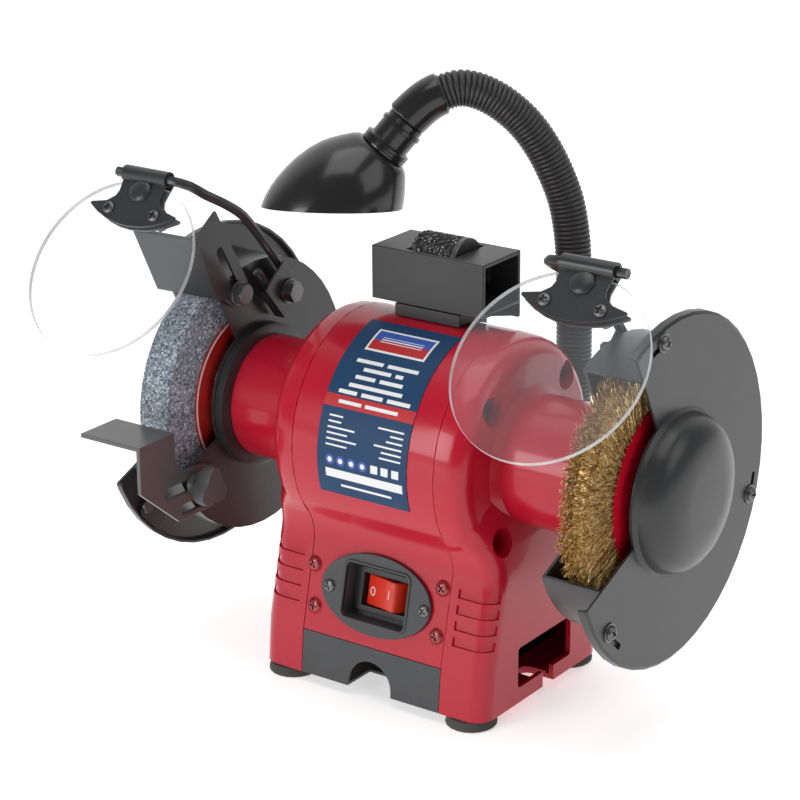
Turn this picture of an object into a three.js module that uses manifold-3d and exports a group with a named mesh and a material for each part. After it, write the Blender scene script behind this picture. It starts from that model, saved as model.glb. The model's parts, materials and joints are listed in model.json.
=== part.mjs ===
// Bench grinder for 150 mm wheels: grinding wheel on the left, brass wire wheel on the right,
// two eye shields, spark arrestor, tool rest, wheel dresser and a gooseneck work lamp.
// Millimetres, +Z up, +X along the spindle to the right, -Y towards the operator.
// Every piece is first laid out with the spindle axis as the X axis. The whole group is then
// lifted so that the feet stand on z = 0 and moved so that the origin is under its middle.
import * as THREE from 'three';
import { mergeVertices } from 'three/addons/utils/BufferGeometryUtils.js';
import Module from 'manifold-3d';

const wasm = await Module();
wasm.setup();

// ---- driving dimensions ----
const SHAFT_HEIGHT = 141;        // spindle axis above the bench
const MIDDLE_Y = 23;             // moves the origin under the middle of the outline
const GAP = 0.3;                 // clearance between pieces that touch on the real machine

const BODY_R = 66;               // motor shell, outside
const WALL = 3;                  // casting thickness
const SEAM_X = 47;               // seam between the centre shell and an end housing
const BELL_X = 66;               // outer face of the end bell
const NECK_R = 36.2;
const NECK_BORE_R = 31.5;
const NECK_X = 113.5;            // outer end of the neck
const LEG_X = 76;                // outer face of a leg
const LEG_CORNER_R = 11;         // upright corners of the legs, seen from above
const BASE_Z = -135;             // underside of the housing
const PANEL_Z = -109;            // top of the dark base panel
const FOOT_X = 61;
const FOOT_Y = 49.5;
const SLOPE = THREE.MathUtils.degToRad(13);     // front face of the base leans back
const WAIST_Y = 46.5;            // half depth of the sloping front, extended up to WAIST_Z
const WAIST_Z = -56;
// Half depth where the round shell flows into the sloping front: [height, half depth].
const WAIST = [[-34.5, 55.9], [-39, 52.5], [-44, 49.6], [-49, 47.8], [-53.5, 46.9], [-58, 46.95]];
const SWITCH_Z = -80;

const WHEEL_R = 75;
const WHEEL_INNER_X = 129;
const WHEEL_T = 20;
const SHAFT_R = 6.4;             // at the wheels
const BEARING_SEAT_R = 7.5;
const BEARING_R = 17.5;
const BEARING_X = 96;            // inner face of a bearing
const BEARING_W = 11;
const SEAT_END = BEARING_X + BEARING_W + 0.4;
const ROTOR_R = 30.2;
const CORE_HALF = 23;            // half length of the motor cores
const STATOR_R = 60;
const STATOR_BORE_R = 30.8;
const BOLT_POS = 36.5;           // motor bolts, from the spindle axis along Y and Z
const BOLT_WELL_R = 8.2;         // wells in the end bells that take the heads of the motor bolts

const GUARD_X = 122.3;           // outer face of the inner guard plate
const GUARD_T = 1.6;
const GUARD_R = 80.5;            // guard band, outside
const COVER_X = 156.8;           // outer face of the guard cover
const COVER_R = 96.7;
const COVER_T = 1.4;
const DOME_R = 43.5;             // side of the dome pressed into the guard cover
// Outside of the dome: [height above the cover, distance beyond DOME_R].
const DOME_PROFILE = [[0, 2.5], [2, 0.4], [7.5, -0.7], [11.5, -2.9], [14.7, -7], [17.2, -13],
  [18.7, -20], [19.2, -26]];
const DOME_H = 19.3;
const BOSS_R = 42.3;             // boss between the neck and the guard plate

const ROD_R = 2.8;
const ROD_X = 115.5;             // plane of the shield rods
const SHIELD_R = 52.6;
const SHIELD_T = 3;
const SHIELD_X = 143;            // middle of an eye shield
const PIVOT_Y = -66;             // rod end that carries the shield clip
const PIVOT_Z = 140.5;
const PIVOT_UP = 55;             // rod end above the shield's middle, along the shield
const PIVOT_OUT = 2.5;           // rod end in front of the shield's mid-plane

const NECK_TUBE_R = 9.6;         // gooseneck
const LAMP_X = 45.2;             // gooseneck foot
const LAMP_Y = 77;
const LAMP_TURN = THREE.MathUtils.degToRad(40); // the gooseneck leans left and towards the operator

// ---- geometry helpers ----
const rad = THREE.MathUtils.degToRad;

// Turns the faces outwards if the signed volume says they point in.
function outward(geometry) {
  const p = geometry.attributes.position;
  const index = geometry.index;
  const [a, b, c] = [new THREE.Vector3(), new THREE.Vector3(), new THREE.Vector3()];
  let volume = 0;
  for (let i = 0; i < index.count; i += 3) {
    a.fromBufferAttribute(p, index.getX(i));
    b.fromBufferAttribute(p, index.getX(i + 1));
    c.fromBufferAttribute(p, index.getX(i + 2));
    volume += a.dot(b.cross(c));
  }
  if (volume < 0) {
    for (let i = 0; i < index.count; i += 3) {
      const second = index.getX(i + 1);
      index.setX(i + 1, index.getX(i + 2));
      index.setX(i + 2, second);
    }
  }
  return geometry;
}

// Merges shared corners and leaves out the faces that collapse on a lathe's axis.
function closed(geometry) {
  geometry.deleteAttribute('normal');
  geometry.deleteAttribute('uv');
  const merged = mergeVertices(geometry, 1e-4);
  const faces = [];
  for (let i = 0; i < merged.index.count; i += 3) {
    const [a, b, c] = [0, 1, 2].map((k) => merged.index.getX(i + k));
    if (a !== b && b !== c && c !== a) {
      faces.push(a, b, c);
    }
  }
  merged.setIndex(faces);
  return outward(merged);
}

function solid(geometry) {
  return new wasm.Manifold(new wasm.Mesh({
    numProp: 3,
    vertProperties: geometry.attributes.position.array,
    triVerts: new Uint32Array(geometry.index.array),
  }));
}

function geometryOf(manifold) {
  const mesh = manifold.getMesh();
  const geometry = new THREE.BufferGeometry();
  geometry.setAttribute('position', new THREE.BufferAttribute(mesh.vertProperties, 3));
  geometry.setIndex(new THREE.BufferAttribute(mesh.triVerts, 1));
  return geometry;
}

function cut(base, ...tools) {
  return geometryOf(tools.reduce((left, tool) => left.subtract(solid(tool)), solid(base)));
}

function join(base, ...others) {
  return geometryOf(others.reduce((sum, other) => sum.add(solid(other)), solid(base)));
}

function common(base, other) {
  return geometryOf(solid(base).intersect(solid(other)));
}

function mirrored(geometry) {
  return outward(geometry.clone().scale(-1, 1, 1));
}

function box(x0, x1, y0, y1, z0, z1) {
  const geometry = new THREE.BoxGeometry(x1 - x0, y1 - y0, z1 - z0);
  return closed(geometry.translate((x0 + x1) / 2, (y0 + y1) / 2, (z0 + z1) / 2));
}

// Revolves [x, radius] pairs about the X axis.
function turned(profile, segments = 48) {
  const points = profile.map(([x, r]) => new THREE.Vector2(r, x));
  return closed(new THREE.LatheGeometry(points, segments).rotateZ(-Math.PI / 2));
}

// A turned piece with a bore: the profile closes on itself.
function ring(profile, segments = 48) {
  return turned([...profile, profile[0]], segments);
}

function rod(x0, x1, radius, segments = 24) {
  return turned([[x0, 0], [x0, radius], [x1, radius], [x1, 0]], segments);
}

function tubeRing(x0, x1, inner, outer, segments = 48) {
  return ring([[x0, inner], [x0, outer], [x1, outer], [x1, inner]], segments);
}

function shapeOf(points) {
  return new THREE.Shape(points.map(([a, b]) => new THREE.Vector2(a, b)));
}

// Prisms: the outline is given in the two axes that the prism doesn't run along.
function prismX(outline, x0, x1) {
  const geometry = new THREE.ExtrudeGeometry(shapeOf(outline), { depth: x1 - x0, bevelEnabled: false });
  geometry.applyMatrix4(new THREE.Matrix4().makeBasis(
    new THREE.Vector3(0, 1, 0), new THREE.Vector3(0, 0, 1), new THREE.Vector3(1, 0, 0)));
  return closed(geometry.translate(x0, 0, 0));
}

function prismY(outline, y0, y1) {
  const geometry = new THREE.ExtrudeGeometry(shapeOf(outline), { depth: y1 - y0, bevelEnabled: false });
  geometry.applyMatrix4(new THREE.Matrix4().makeBasis(
    new THREE.Vector3(1, 0, 0), new THREE.Vector3(0, 0, 1), new THREE.Vector3(0, -1, 0)));
  return closed(geometry.translate(0, y1, 0));
}

function prismZ(outline, z0, z1) {
  const geometry = new THREE.ExtrudeGeometry(shapeOf(outline), { depth: z1 - z0, bevelEnabled: false });
  return closed(geometry.translate(0, 0, z0));
}

// Skin over outlines of equal length, each convex and at its own height.
function loft(levels) {
  const count = levels[0].outline.length;
  const positions = levels.flatMap(({ z, outline }) => outline.flatMap(([x, y]) => [x, y, z]));
  const faces = [];
  for (let level = 0; level + 1 < levels.length; level += 1) {
    for (let i = 0; i < count; i += 1) {
      const next = (i + 1) % count;
      const [a, b] = [level * count + i, level * count + next];
      faces.push(a, b, b + count, a, b + count, a + count);
    }
  }
  const top = (levels.length - 1) * count;
  for (let i = 1; i + 1 < count; i += 1) {
    faces.push(0, i + 1, i, top, top + i, top + i + 1);
  }
  const geometry = new THREE.BufferGeometry();
  geometry.setAttribute('position', new THREE.Float32BufferAttribute(positions, 3));
  geometry.setIndex(faces);
  return outward(geometry);
}

// Points on an arc, angles in degrees.
function arc(a, b, radius, from, to, steps) {
  return Array.from({ length: steps + 1 }, (_, i) => {
    const angle = rad(from + (to - from) * i / steps);
    return [a + radius * Math.cos(angle), b + radius * Math.sin(angle)];
  });
}

function ellipse(halfA, halfB, steps) {
  return arc(0, 0, 1, 0, 360 - 360 / steps, steps - 1).map(([a, b]) => [a * halfA, b * halfB]);
}

// A slot with round ends between two points.
function slotOutline([a0, b0], [a1, b1], halfWidth, steps = 6) {
  const angle = THREE.MathUtils.radToDeg(Math.atan2(b1 - b0, a1 - a0));
  return [
    ...arc(a1, b1, halfWidth, angle - 90, angle + 90, steps),
    ...arc(a0, b0, halfWidth, angle + 90, angle + 270, steps),
  ];
}

function roundedRect(halfA, halfB, radius, steps = 3) {
  const corners = [[1, 1, 0], [-1, 1, 90], [-1, -1, 180], [1, -1, 270]];
  return corners.flatMap(([a, b, from]) => arc(a * (halfA - radius), b * (halfB - radius), radius,
    from, from + 90, steps));
}

// A round bar along a curve.
function bar(curve, radius, steps, sides = 10) {
  const section = new THREE.Shape(ellipse(radius, radius, sides).map(([a, b]) => new THREE.Vector2(a, b)));
  return closed(new THREE.ExtrudeGeometry(section, { extrudePath: curve, steps, bevelEnabled: false }));
}

function smooth(points) {
  return new THREE.CatmullRomCurve3(points.map((p) => new THREE.Vector3(...p)), false, 'centripetal');
}

// ---- materials ----
function finish(color, roughness, metalness) {
  return new THREE.MeshStandardMaterial({ color, roughness, metalness });
}
const redPaint = finish(0xb8142c, 0.3, 0.1);
const blackPaint = finish(0x46474a, 0.5, 0.3);
const blackPlastic = finish(0x2b2c2e, 0.5, 0);
const darkPlastic = finish(0x4a4c4f, 0.55, 0);
const glossBlack = finish(0x111113, 0.15, 0);
const rubber = finish(0x1c1c1c, 0.9, 0);
const steel = finish(0xa9a9ab, 0.35, 1);
const laminations = finish(0x6d6f74, 0.55, 0.8);
const copper = finish(0xb06a35, 0.35, 0.9);
const grit = finish(0x76838f, 0.95, 0);
const labelRed = finish(0xe03020, 0.5, 0);
const brass = finish(0xb08a3c, 0.4, 0.8);
const clearPlastic = finish(0xe8eef2, 0.05, 0);
const rockerRed = finish(0xe02a12, 0.35, 0);
const bulbWhite = finish(0xf2efe6, 0.3, 0);

const grinder = new THREE.Group();

function add(name, geometry, material, parent = grinder) {
  const mesh = new THREE.Mesh(geometry, material);
  mesh.name = name;
  parent.add(mesh);
  return mesh;
}

// ---- housing ----
const panelHalf = WAIST_Y + (WAIST_Z - PANEL_Z) * Math.tan(SLOPE);  // half depth at the panel's top
const baseHalf = panelHalf + 2.5;                                  // half depth at the underside

// Section of the housing, front and rear alike, shrunk by inset and closed at the bottom.
function housingOutline(inset, bottomZ) {
  const dome = arc(0, 0, BODY_R - inset, -27, 207, 30);
  const foot = bottomZ < PANEL_Z ? [[bottomZ, baseHalf]] : [];
  const rear = [...WAIST, [PANEL_Z, panelHalf], ...foot].map(([z, half]) => [half - inset, z]);
  return [...dome, ...rear.map(([y, z]) => [-y, z]), ...rear.reverse()];
}

const switchY = -(WAIST_Y + (WAIST_Z - SWITCH_Z) * Math.tan(SLOPE));

function makeCentreShell() {
  const half = SEAM_X - GAP / 2;
  const hole = prismY(roundedRect(24, 18.7, 4), -12, 14);
  hole.rotateX(-SLOPE).translate(0, switchY, SWITCH_Z);
  return cut(
    prismX(housingOutline(0, PANEL_Z + GAP), -half, half),
    prismX(housingOutline(WALL, PANEL_Z - 5), -half - 1, half + 1),
    hole);
}

// Plan of a leg at several heights: [height, half width, half depth, corner radius]. It follows the
// housing's section below, and narrows upwards until it is inside the end bell.
const LEG_LEVELS = [[-5, 63, 57, 20], [-15, 66.5, 58, 20], [-25, 69.8, 59, 20], [-34, 72, 55.6, 17],
  [-41, 73.6, 51.2, 13], ...WAIST.slice(3).map(([z, half], i) => [z, 74.6 + i * 0.6, half, LEG_CORNER_R]),
  [-66, LEG_X, 48.81, LEG_CORNER_R], [PANEL_Z, LEG_X, panelHalf, LEG_CORNER_R],
  [BASE_Z - 1, LEG_X, baseHalf, LEG_CORNER_R]];

function legPlan(inset) {
  return loft(LEG_LEVELS.map(([z, half, depth, corner]) => ({
    z,
    outline: roundedRect(half - inset, depth - inset, corner - inset, 4),
  })));
}

// End bell, bearing neck and leg in one casting, drawn for the right-hand end.
function makeEndHousing() {
  const inner = SEAM_X + GAP / 2;
  const bell = turned([[inner, 0], [inner, BODY_R], [56, 65.3], [60.5, 63.3], [64, 59.6],
    [BELL_X, 55], [BELL_X, 41], [BELL_X + 4, NECK_R], [NECK_X, NECK_R], [NECK_X, 0]], 32);
  const hollow = turned([[inner - 1, 0], [inner - 1, BODY_R - WALL], [55, 62], [60, 58.5],
    [BELL_X - WALL, 51], [BELL_X - WALL, 38], [70, NECK_BORE_R], [SEAT_END, NECK_BORE_R],
    [SEAT_END, 0]], 24);
  const leg = common(prismX(housingOutline(0, BASE_Z), inner, LEG_X), legPlan(0));
  const cavitySection = housingOutline(WALL, BASE_Z + WALL).filter(([, z]) => z < -53);
  const cavity = common(prismX(cavitySection, inner - 1, LEG_X - WALL), legPlan(WALL));
  const outside = join(bell, leg);
  const shell = cut(outside, hollow, cavity);
  const corners = [[-1, -1], [1, -1], [1, 1], [-1, 1]];
  const atCorners = (x0, x1, radius, segments) => corners.map(([sy, sz]) =>
    rod(x0, x1, radius, segments).translate(0, sy * BOLT_POS, sz * BOLT_POS));
  const bosses = atCorners(inner + 2, LEG_X - 1, BOLT_WELL_R + 2.6, 12).map((boss) => common(outside, boss));
  // Raised pad inside the leg for the head of the bench bolt.
  const boltPad = box(50, 71, -9, 19, BASE_Z + WALL - 0.5, BASE_Z + WALL + 1);
  const bearingSeat = tubeRing(BEARING_X, SEAT_END + 0.5, BEARING_R + 0.3, NECK_BORE_R + 1, 24);
  const solidPart = join(shell, ...bosses, bearingSeat, boltPad);
  const wells = atCorners(55, LEG_X + 1, BOLT_WELL_R, 16);
  const boltBores = atCorners(inner - 1, 60, 2.6, 8);
  const window = prismX(roundedRect(27, 12, 2, 3).map(([y, z]) => [y + 1, z - 114]), LEG_X - 6, LEG_X + 1);
  const boltSlot = prismZ(slotOutline([62, 5], [90, 5], 5.5), BASE_Z - 1, BASE_Z + 10);
  const shaftBore = rod(SEAT_END - 1, NECK_X + 1, 12, 20);
  return cut(solidPart, shaftBore, window, boltSlot, ...wells, ...boltBores);
}

// Black tray under the centre shell, with an arched notch in its front.
function makeBaseCover() {
  const half = SEAM_X - GAP / 2;
  const thickness = 2;
  const top = PANEL_Z - GAP;
  const outer = [[-panelHalf, top], [-baseHalf, BASE_Z], [baseHalf, BASE_Z], [panelHalf, top]];
  const inner = [[-panelHalf + thickness, top + 1], [-baseHalf + thickness, BASE_Z + thickness],
    [baseHalf - thickness, BASE_Z + thickness], [panelHalf - thickness, top + 1]];
  const arch = prismY([[-14.5, BASE_Z - 1], [14.5, BASE_Z - 1],
    ...arc(0, BASE_Z + 3, 14.5, 0, 180, 12)], -80, -40);
  return cut(prismX(outer, -half, half), prismX(inner, -half - 1, half + 1), arch);
}

function makeFoot() {
  return turned([[0, 0], [0, 13.6], [1, 14.6], [5.7, 13.4], [5.7, 0]], 20)
    .rotateY(-Math.PI / 2);
}

add('centre_shell', makeCentreShell(), redPaint);
const endHousing = makeEndHousing();
add('right_end_housing', endHousing, redPaint);
add('left_end_housing', mirrored(endHousing), redPaint);
add('base_cover', makeBaseCover(), darkPlastic);
for (const [end, y] of [['front', -FOOT_Y], ['rear', FOOT_Y]]) {
  add(`foot_${end}_left`, makeFoot(), rubber).position.set(-FOOT_X, y, -SHAFT_HEIGHT);
  add(`foot_${end}_right`, makeFoot(), rubber).position.set(FOOT_X, y, -SHAFT_HEIGHT);
}

// ---- motor ----
function makeStatorCore() {
  const bores = [[-1, -1], [1, -1], [1, 1], [-1, 1]].map(([sy, sz]) =>
    rod(-CORE_HALF - 1, CORE_HALF + 1, 2.6, 8).translate(0, sy * BOLT_POS, sz * BOLT_POS));
  return cut(tubeRing(-CORE_HALF, CORE_HALF, STATOR_BORE_R, STATOR_R, 32), ...bores);
}

function makeWinding() {
  const start = CORE_HALF + GAP;
  return ring([[start, 34], [start, 47], [start + 5, 48.8], [start + 11, 47], [start + 13, 42],
    [start + 11, 36]], 24);
}

add('stator_core', makeStatorCore(), laminations);
const winding = makeWinding();
add('right_winding', winding, copper);
add('left_winding', mirrored(winding), copper);
add('run_capacitor', rod(-32, 32, 17, 28), darkPlastic).position.set(0, 22, -105);

// ---- spindle ----
const spindle = new THREE.Group();
grinder.add(spindle);

const SHOULDER_X = 117;          // inner flanges rest against the shaft's shoulders here
const SHAFT_END = 164;
const FLANGE_R = 36;

function makeShaft() {
  return turned([[-SHAFT_END, 0], [-SHAFT_END, SHAFT_R - 1], [-SHAFT_END + 1, SHAFT_R],
    [-SHOULDER_X, SHAFT_R], [-SHOULDER_X, BEARING_SEAT_R], [-90, BEARING_SEAT_R], [-90, 8.5],
    [90, 8.5], [90, BEARING_SEAT_R], [SHOULDER_X, BEARING_SEAT_R], [SHOULDER_X, SHAFT_R],
    [SHAFT_END - 1, SHAFT_R], [SHAFT_END, SHAFT_R - 1], [SHAFT_END, 0]], 20);
}

function makeInnerFlange() {
  const face = WHEEL_INNER_X - 0.6;
  return ring([[SHOULDER_X + GAP, 6.7], [SHOULDER_X + GAP, 11], [face - 5, 12], [face - 4, FLANGE_R],
    [face - 0.6, FLANGE_R], [face - 0.6, 6.7]], 24);
}

function makeOuterFlange() {
  const face = WHEEL_INNER_X + WHEEL_T + GAP;
  return ring([[face, 6.7], [face, FLANGE_R], [face + 2, FLANGE_R - 1], [face + 3.5, 14],
    [face + 3.5, 6.7]], 24);
}

function makeNut() {
  const start = WHEEL_INNER_X + WHEEL_T + 4.2;
  const hexagon = ellipse(11, 11, 6);
  return cut(prismX(hexagon, start, start + 7.5), rod(start - 1, start + 9, 6.7, 24));
}

// Bristle disc, clamped between the hub's plates and widening towards its rim.
function makeWireWheel() {
  const x = WHEEL_INNER_X;
  const end = x + WHEEL_T;
  return ring([[x + 3, 22], [x + 2.2, 50.5], [x + 0.6, 70], [x + 3.5, WHEEL_R], [end - 3.5, WHEEL_R],
    [end - 0.6, 70], [end - 2.2, 50.5], [end - 3, 22]], 36);
}

function makeWireWheelHub() {
  const x = WHEEL_INNER_X;
  const end = x + WHEEL_T;
  return ring([[x, 6.7], [x, 47], [x + 1.8, 49.5], [x + 2.4, 21.6], [end - 2.4, 21.6],
    [end - 1.8, 49.5], [end, 47], [end, 6.7]], 32);
}

add('shaft', makeShaft(), steel, spindle);
add('rotor_core', ring([[-29, 19], [-29, 27], [-CORE_HALF, 30], [CORE_HALF, 30], [29, 27], [29, 19],
  [CORE_HALF, 18], [CORE_HALF, 8.8], [-CORE_HALF, 8.8], [-CORE_HALF, 18]], 24), laminations, spindle);
const wheelProfile = [[WHEEL_INNER_X, 6.7], [WHEEL_INNER_X, WHEEL_R], [WHEEL_INNER_X + WHEEL_T, WHEEL_R],
  [WHEEL_INNER_X + WHEEL_T, 6.7]];
add('grinding_wheel', mirrored(ring(wheelProfile, 56)), grit, spindle);
add('left_blotter', mirrored(tubeRing(WHEEL_INNER_X - 0.9, WHEEL_INNER_X - GAP, 6.7, 50.3, 32)),
  labelRed, spindle);
add('wire_wheel', makeWireWheel(), brass, spindle);
add('wire_wheel_hub', makeWireWheelHub(), labelRed, spindle);

const bearingInner = tubeRing(BEARING_X + GAP, BEARING_X + BEARING_W - GAP, BEARING_SEAT_R + 0.1, 11, 20);
const bearingOuter = tubeRing(BEARING_X + GAP, BEARING_X + BEARING_W - GAP, 14, BEARING_R, 24);
for (const [side, place] of [['right', (g) => g], ['left', mirrored]]) {
  add(`${side}_bearing_inner`, place(bearingInner), steel, spindle);
  add(`${side}_bearing_outer`, place(bearingOuter), steel);
  add(`${side}_inner_flange`, place(makeInnerFlange()), steel, spindle);
  add(`${side}_outer_flange`, place(makeOuterFlange()), steel, spindle);
  add(`${side}_nut`, place(makeNut()), steel, spindle);
}

// ---- guards ----
const KNOB_Y = -66;              // stud that clamps the tool rest
const KNOB_Z = -34.7;
const OPEN_TOP = 62.5;           // the guards are open between these angles, from the front, up positive
const OPEN_BOTTOM = -22.5;
const OPEN_HUB_R = 43;           // the plates stay whole inside this radius

// Wedge in front of the wheel that is taken out of every guard plate.
function openingWedge(x0, x1, hubRadius) {
  const from = 180 - OPEN_TOP;
  const to = 180 - OPEN_BOTTOM;
  return prismX([...arc(0, 0, 190, to, from, 6), ...arc(0, 0, hubRadius, from, to, 10)], x0, x1);
}

function makeGuard() {
  const inside = GUARD_X - GUARD_T;
  const edge = COVER_X - COVER_T - GAP;
  const drum = ring([[inside, 17], [inside, GUARD_R], [edge, GUARD_R], [edge, GUARD_R - GUARD_T],
    [GUARD_X, GUARD_R - GUARD_T], [GUARD_X, 17]], 44);
  const boss = ring([[NECK_X + GAP, 17], [NECK_X + GAP, NECK_R + 1], [NECK_X + 2, BOSS_R],
    [inside + 0.2, BOSS_R], [inside + 0.2, 17]], 24);
  return join(cut(drum, openingWedge(inside - 1, COVER_X + 1, OPEN_HUB_R)), boss);
}

// The left guard has a hole for the tool rest's stud.
function makeLeftGuard(rightGuard) {
  const hole = rod(-GUARD_X - 1, -GUARD_X + GUARD_T + 1, 3.3, 12).translate(0, KNOB_Y, KNOB_Z);
  return cut(mirrored(rightGuard), hole);
}

// Pressed cover with a domed middle and a turned-in rim.
function makeGuardCover() {
  const inner = COVER_X - COVER_T;
  const dome = DOME_PROFILE.map(([height, beyond]) => [COVER_X + height, DOME_R + beyond]);
  const domeInside = dome.map(([x, r]) => [x - COVER_T, r - COVER_T]).reverse();
  const skin = turned([[COVER_X - 5, COVER_R - COVER_T], [COVER_X - 5, COVER_R],
    [COVER_X - 1, COVER_R - 0.4], [COVER_X, COVER_R - 2], ...dome, [COVER_X + DOME_H, 0],
    [inner + DOME_H, 0], ...domeInside, [inner, COVER_R - 2.6], [COVER_X - 5, COVER_R - COVER_T]], 44);
  const key = [[78, 71], [199, 190.7], [-40, -51.3]].map(([from, to]) =>
    prismX([...arc(0, 0, COVER_R - 7.2, 180 - from, 180 - to, 3),
      ...arc(0, 0, COVER_R - 10.6, 180 - to, 180 - from, 3)], inner - 1, COVER_X + 1));
  return cut(skin, openingWedge(COVER_X - 6, COVER_X + DOME_H + 1, DOME_R + 2.8), ...key);
}

const guard = makeGuard();
const cover = makeGuardCover();
add('right_guard', guard, blackPaint);
add('left_guard', makeLeftGuard(guard), blackPaint);
add('right_guard_cover', cover, blackPaint);
add('left_guard_cover', mirrored(cover), blackPaint);

// ---- spark arrestor and tool rest, on the grinding wheel's side ----
const PLATE_INSIDE = -(GUARD_X - GUARD_T) + GAP;   // plates bolted against the left guard start here

const ARRESTOR_WIDTH = 35;

// The leg lies flat on the guard; the front plate is folded from it and splays forward.
function makeSparkArrestor() {
  const thickness = 1.8;
  const leg = prismX([[-56, 106], [-37.4, 67.6], [-25, 59], [-14, 58.5], [-9, 66.5], [-38, 118]],
    PLATE_INSIDE, PLATE_INSIDE + thickness);
  const front = prismX([[-55.2, 106.4], [-57.6, 105.2], [-39, 66.8], [-36.6, 68]], -ARRESTOR_WIDTH, 0);
  const splay = new THREE.Matrix4().makeShear(0.3, -0.09, 0, 0, 0, 0);
  front.applyMatrix4(splay).translate(PLATE_INSIDE + thickness, 0, 0);
  const slot = prismX(slotOutline([-19, 64], [-35.6, 94], 2.9), PLATE_INSIDE - 1, PLATE_INSIDE + 3);
  return cut(join(leg, front), slot);
}

add('spark_arrestor', makeSparkArrestor(), blackPaint);

const REST_Z = 0;                // working height of the tool rest, level with the spindle
const REST_T = 2.5;

function makeToolRest() {
  const x0 = PLATE_INSIDE;
  const x1 = PLATE_INSIDE + REST_T;
  const table = box(-161, x1, -111, -81, REST_Z - REST_T, REST_Z);
  const side = prismX([[-111, REST_Z], [-111, -27.6], [-79.2, -54], [-49, -54], [-49, -29],
    [-57, -26], [-75, -25], [-79, -21], [-81, -14], [-81, REST_Z]], x0, x1);
  const upperSlot = prismX(slotOutline([-88, -34.7], [-57, -34.7], 3.4), x0 - 1, x1 + 1);
  const lowerSlot = prismX(slotOutline([-75, -47.8], [-57, -47.8], 3), x0 - 1, x1 + 1);
  return cut(join(table, side), upperSlot, lowerSlot);
}

// Outline of a three-lobed knob, drawn in the X-Y plane.
function lobes(scale) {
  return Array.from({ length: 30 }, (_, i) => {
    const angle = rad(i * 12);
    const radius = scale * (10.4 + 2.3 * Math.cos(3 * (angle - rad(55))));
    return [radius * Math.cos(angle), radius * Math.sin(angle)];
  });
}

// Knob that flares from its collar, with its stud through the tool rest's slot.
function makeKnob() {
  const start = PLATE_INSIDE + REST_T + GAP;
  const head = loft([[3, 0.58], [6.5, 0.8], [9.5, 0.97], [14, 1], [15.5, 0.93]].map(([z, scale]) =>
    ({ z, outline: lobes(scale) })));
  head.rotateY(Math.PI / 2).translate(start, 0, 0);
  const collar = rod(start, start + 4, 6.3, 24);
  const stud = rod(-GUARD_X - 2, start + 0.1, 2.9, 12);
  return join(head, collar, stud);
}

add('tool_rest', makeToolRest(), steel);
add('tool_rest_knob', makeKnob(), darkPlastic).position.set(0, KNOB_Y, KNOB_Z);

// ---- eye shields ----
const CLAMP_BOLT_Y = 16.2;       // the shield rod's eye turns about this bolt
const CLAMP_BOLT_Z = 59.6;
const ROD_LEAN = Math.atan2(0.63, 0.78);   // the rod leans forward from the clamp
const EYE_R = 7.75;              // bend of the rod around the bolt
// Angles of the arms and shields as set, [arm, shield], positive towards the operator.
const RIGHT_SET = [rad(2), rad(46)];
const LEFT_SET = [0, rad(40)];

// The rod's route, seen from the right: free end, round the bolt, up, forward, then out to the side.
function makeShieldRod() {
  const place = (across, along) => [ROD_X,
    CLAMP_BOLT_Y + across * Math.cos(ROD_LEAN) - along * Math.sin(ROD_LEAN),
    CLAMP_BOLT_Z + across * Math.sin(ROD_LEAN) + along * Math.cos(ROD_LEAN)];
  const eye = arc(0, 0, EYE_R, 180, 360, 8).map(([across, along]) => place(across, along));
  const bend = 6;
  return bar(smooth([
    place(-EYE_R, 27), place(-EYE_R, 14), place(-EYE_R, 5), ...eye,
    place(EYE_R, 8), place(EYE_R, 30), [ROD_X, -10, 103], [ROD_X, -19, 112.3], [ROD_X, -32, 121],
    [ROD_X, PIVOT_Y + 14, PIVOT_Z - 8.6], [ROD_X + 0.6, PIVOT_Y + 5, PIVOT_Z - 2.8],
    [ROD_X + bend, PIVOT_Y, PIVOT_Z], [SHIELD_X - 12, PIVOT_Y, PIVOT_Z], [164.5, PIVOT_Y, PIVOT_Z],
  ]), ROD_R, 34, 7).translate(0, -CLAMP_BOLT_Y, -CLAMP_BOLT_Z);
}

// Clamp plate over the rod's eye, with an edge rolled round the free leg.
function makeRodClamp() {
  const outer = ROD_X - ROD_R - GAP;
  const plate = box(outer - 1.5, outer, -13.1, 9.2, -9.7, 17);
  const lip = box(outer - 1.5, ROD_X + ROD_R, -13.1, -11.4, -9.7, 13.4);
  const hole = rod(outer - 3, outer + 1, 3.3, 16);
  const clamp = cut(join(plate, lip), hole);
  return clamp.rotateX(ROD_LEAN);
}

function makeClampBolt() {
  const face = ROD_X - ROD_R - GAP - 1.5 - GAP;
  const washer = rod(face - 1.2, face, 7.4, 24);
  const head = prismX(ellipse(6.4, 6.4, 6), face - 6, face - 1.1);
  const shank = rod(face - 1, GUARD_X - GUARD_T - GAP, 3, 16);
  return join(washer, head, shank).translate(0, CLAMP_BOLT_Y, CLAMP_BOLT_Z);
}

// Clip folded round the rod, with a leg on each face of the eye shield. Drawn flat, with the
// shield's middle as its origin, the rod above it along Z and the operator's side towards -Y.
function makeShieldClip() {
  const half = [[30, 34.6], [20, 36.8], [15.5, 40.4], [14.3, 44], [15.5, PIVOT_UP]];
  const outline = [...arc(0, 79.3, 55, 303, 237, 8), ...half.map(([x, z]) => [-x, z]), ...half.reverse()];
  const inner = SHIELD_T / 2 + GAP;
  const front = prismY(outline, -inner - 1.4, -inner);
  const back = prismY(outline, inner, inner + 1.4);
  const barrel = rod(-15.5, 15.5, 4.7, 20).translate(0, -PIVOT_OUT, PIVOT_UP);
  const bore = rod(-20, 20, ROD_R + GAP, 20).translate(0, -PIVOT_OUT, PIVOT_UP);
  const spread = box(-20, 20, -inner, inner, 25, PIVOT_UP - 3.5);
  return cut(join(front, back, barrel), bore, spread);
}

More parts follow.
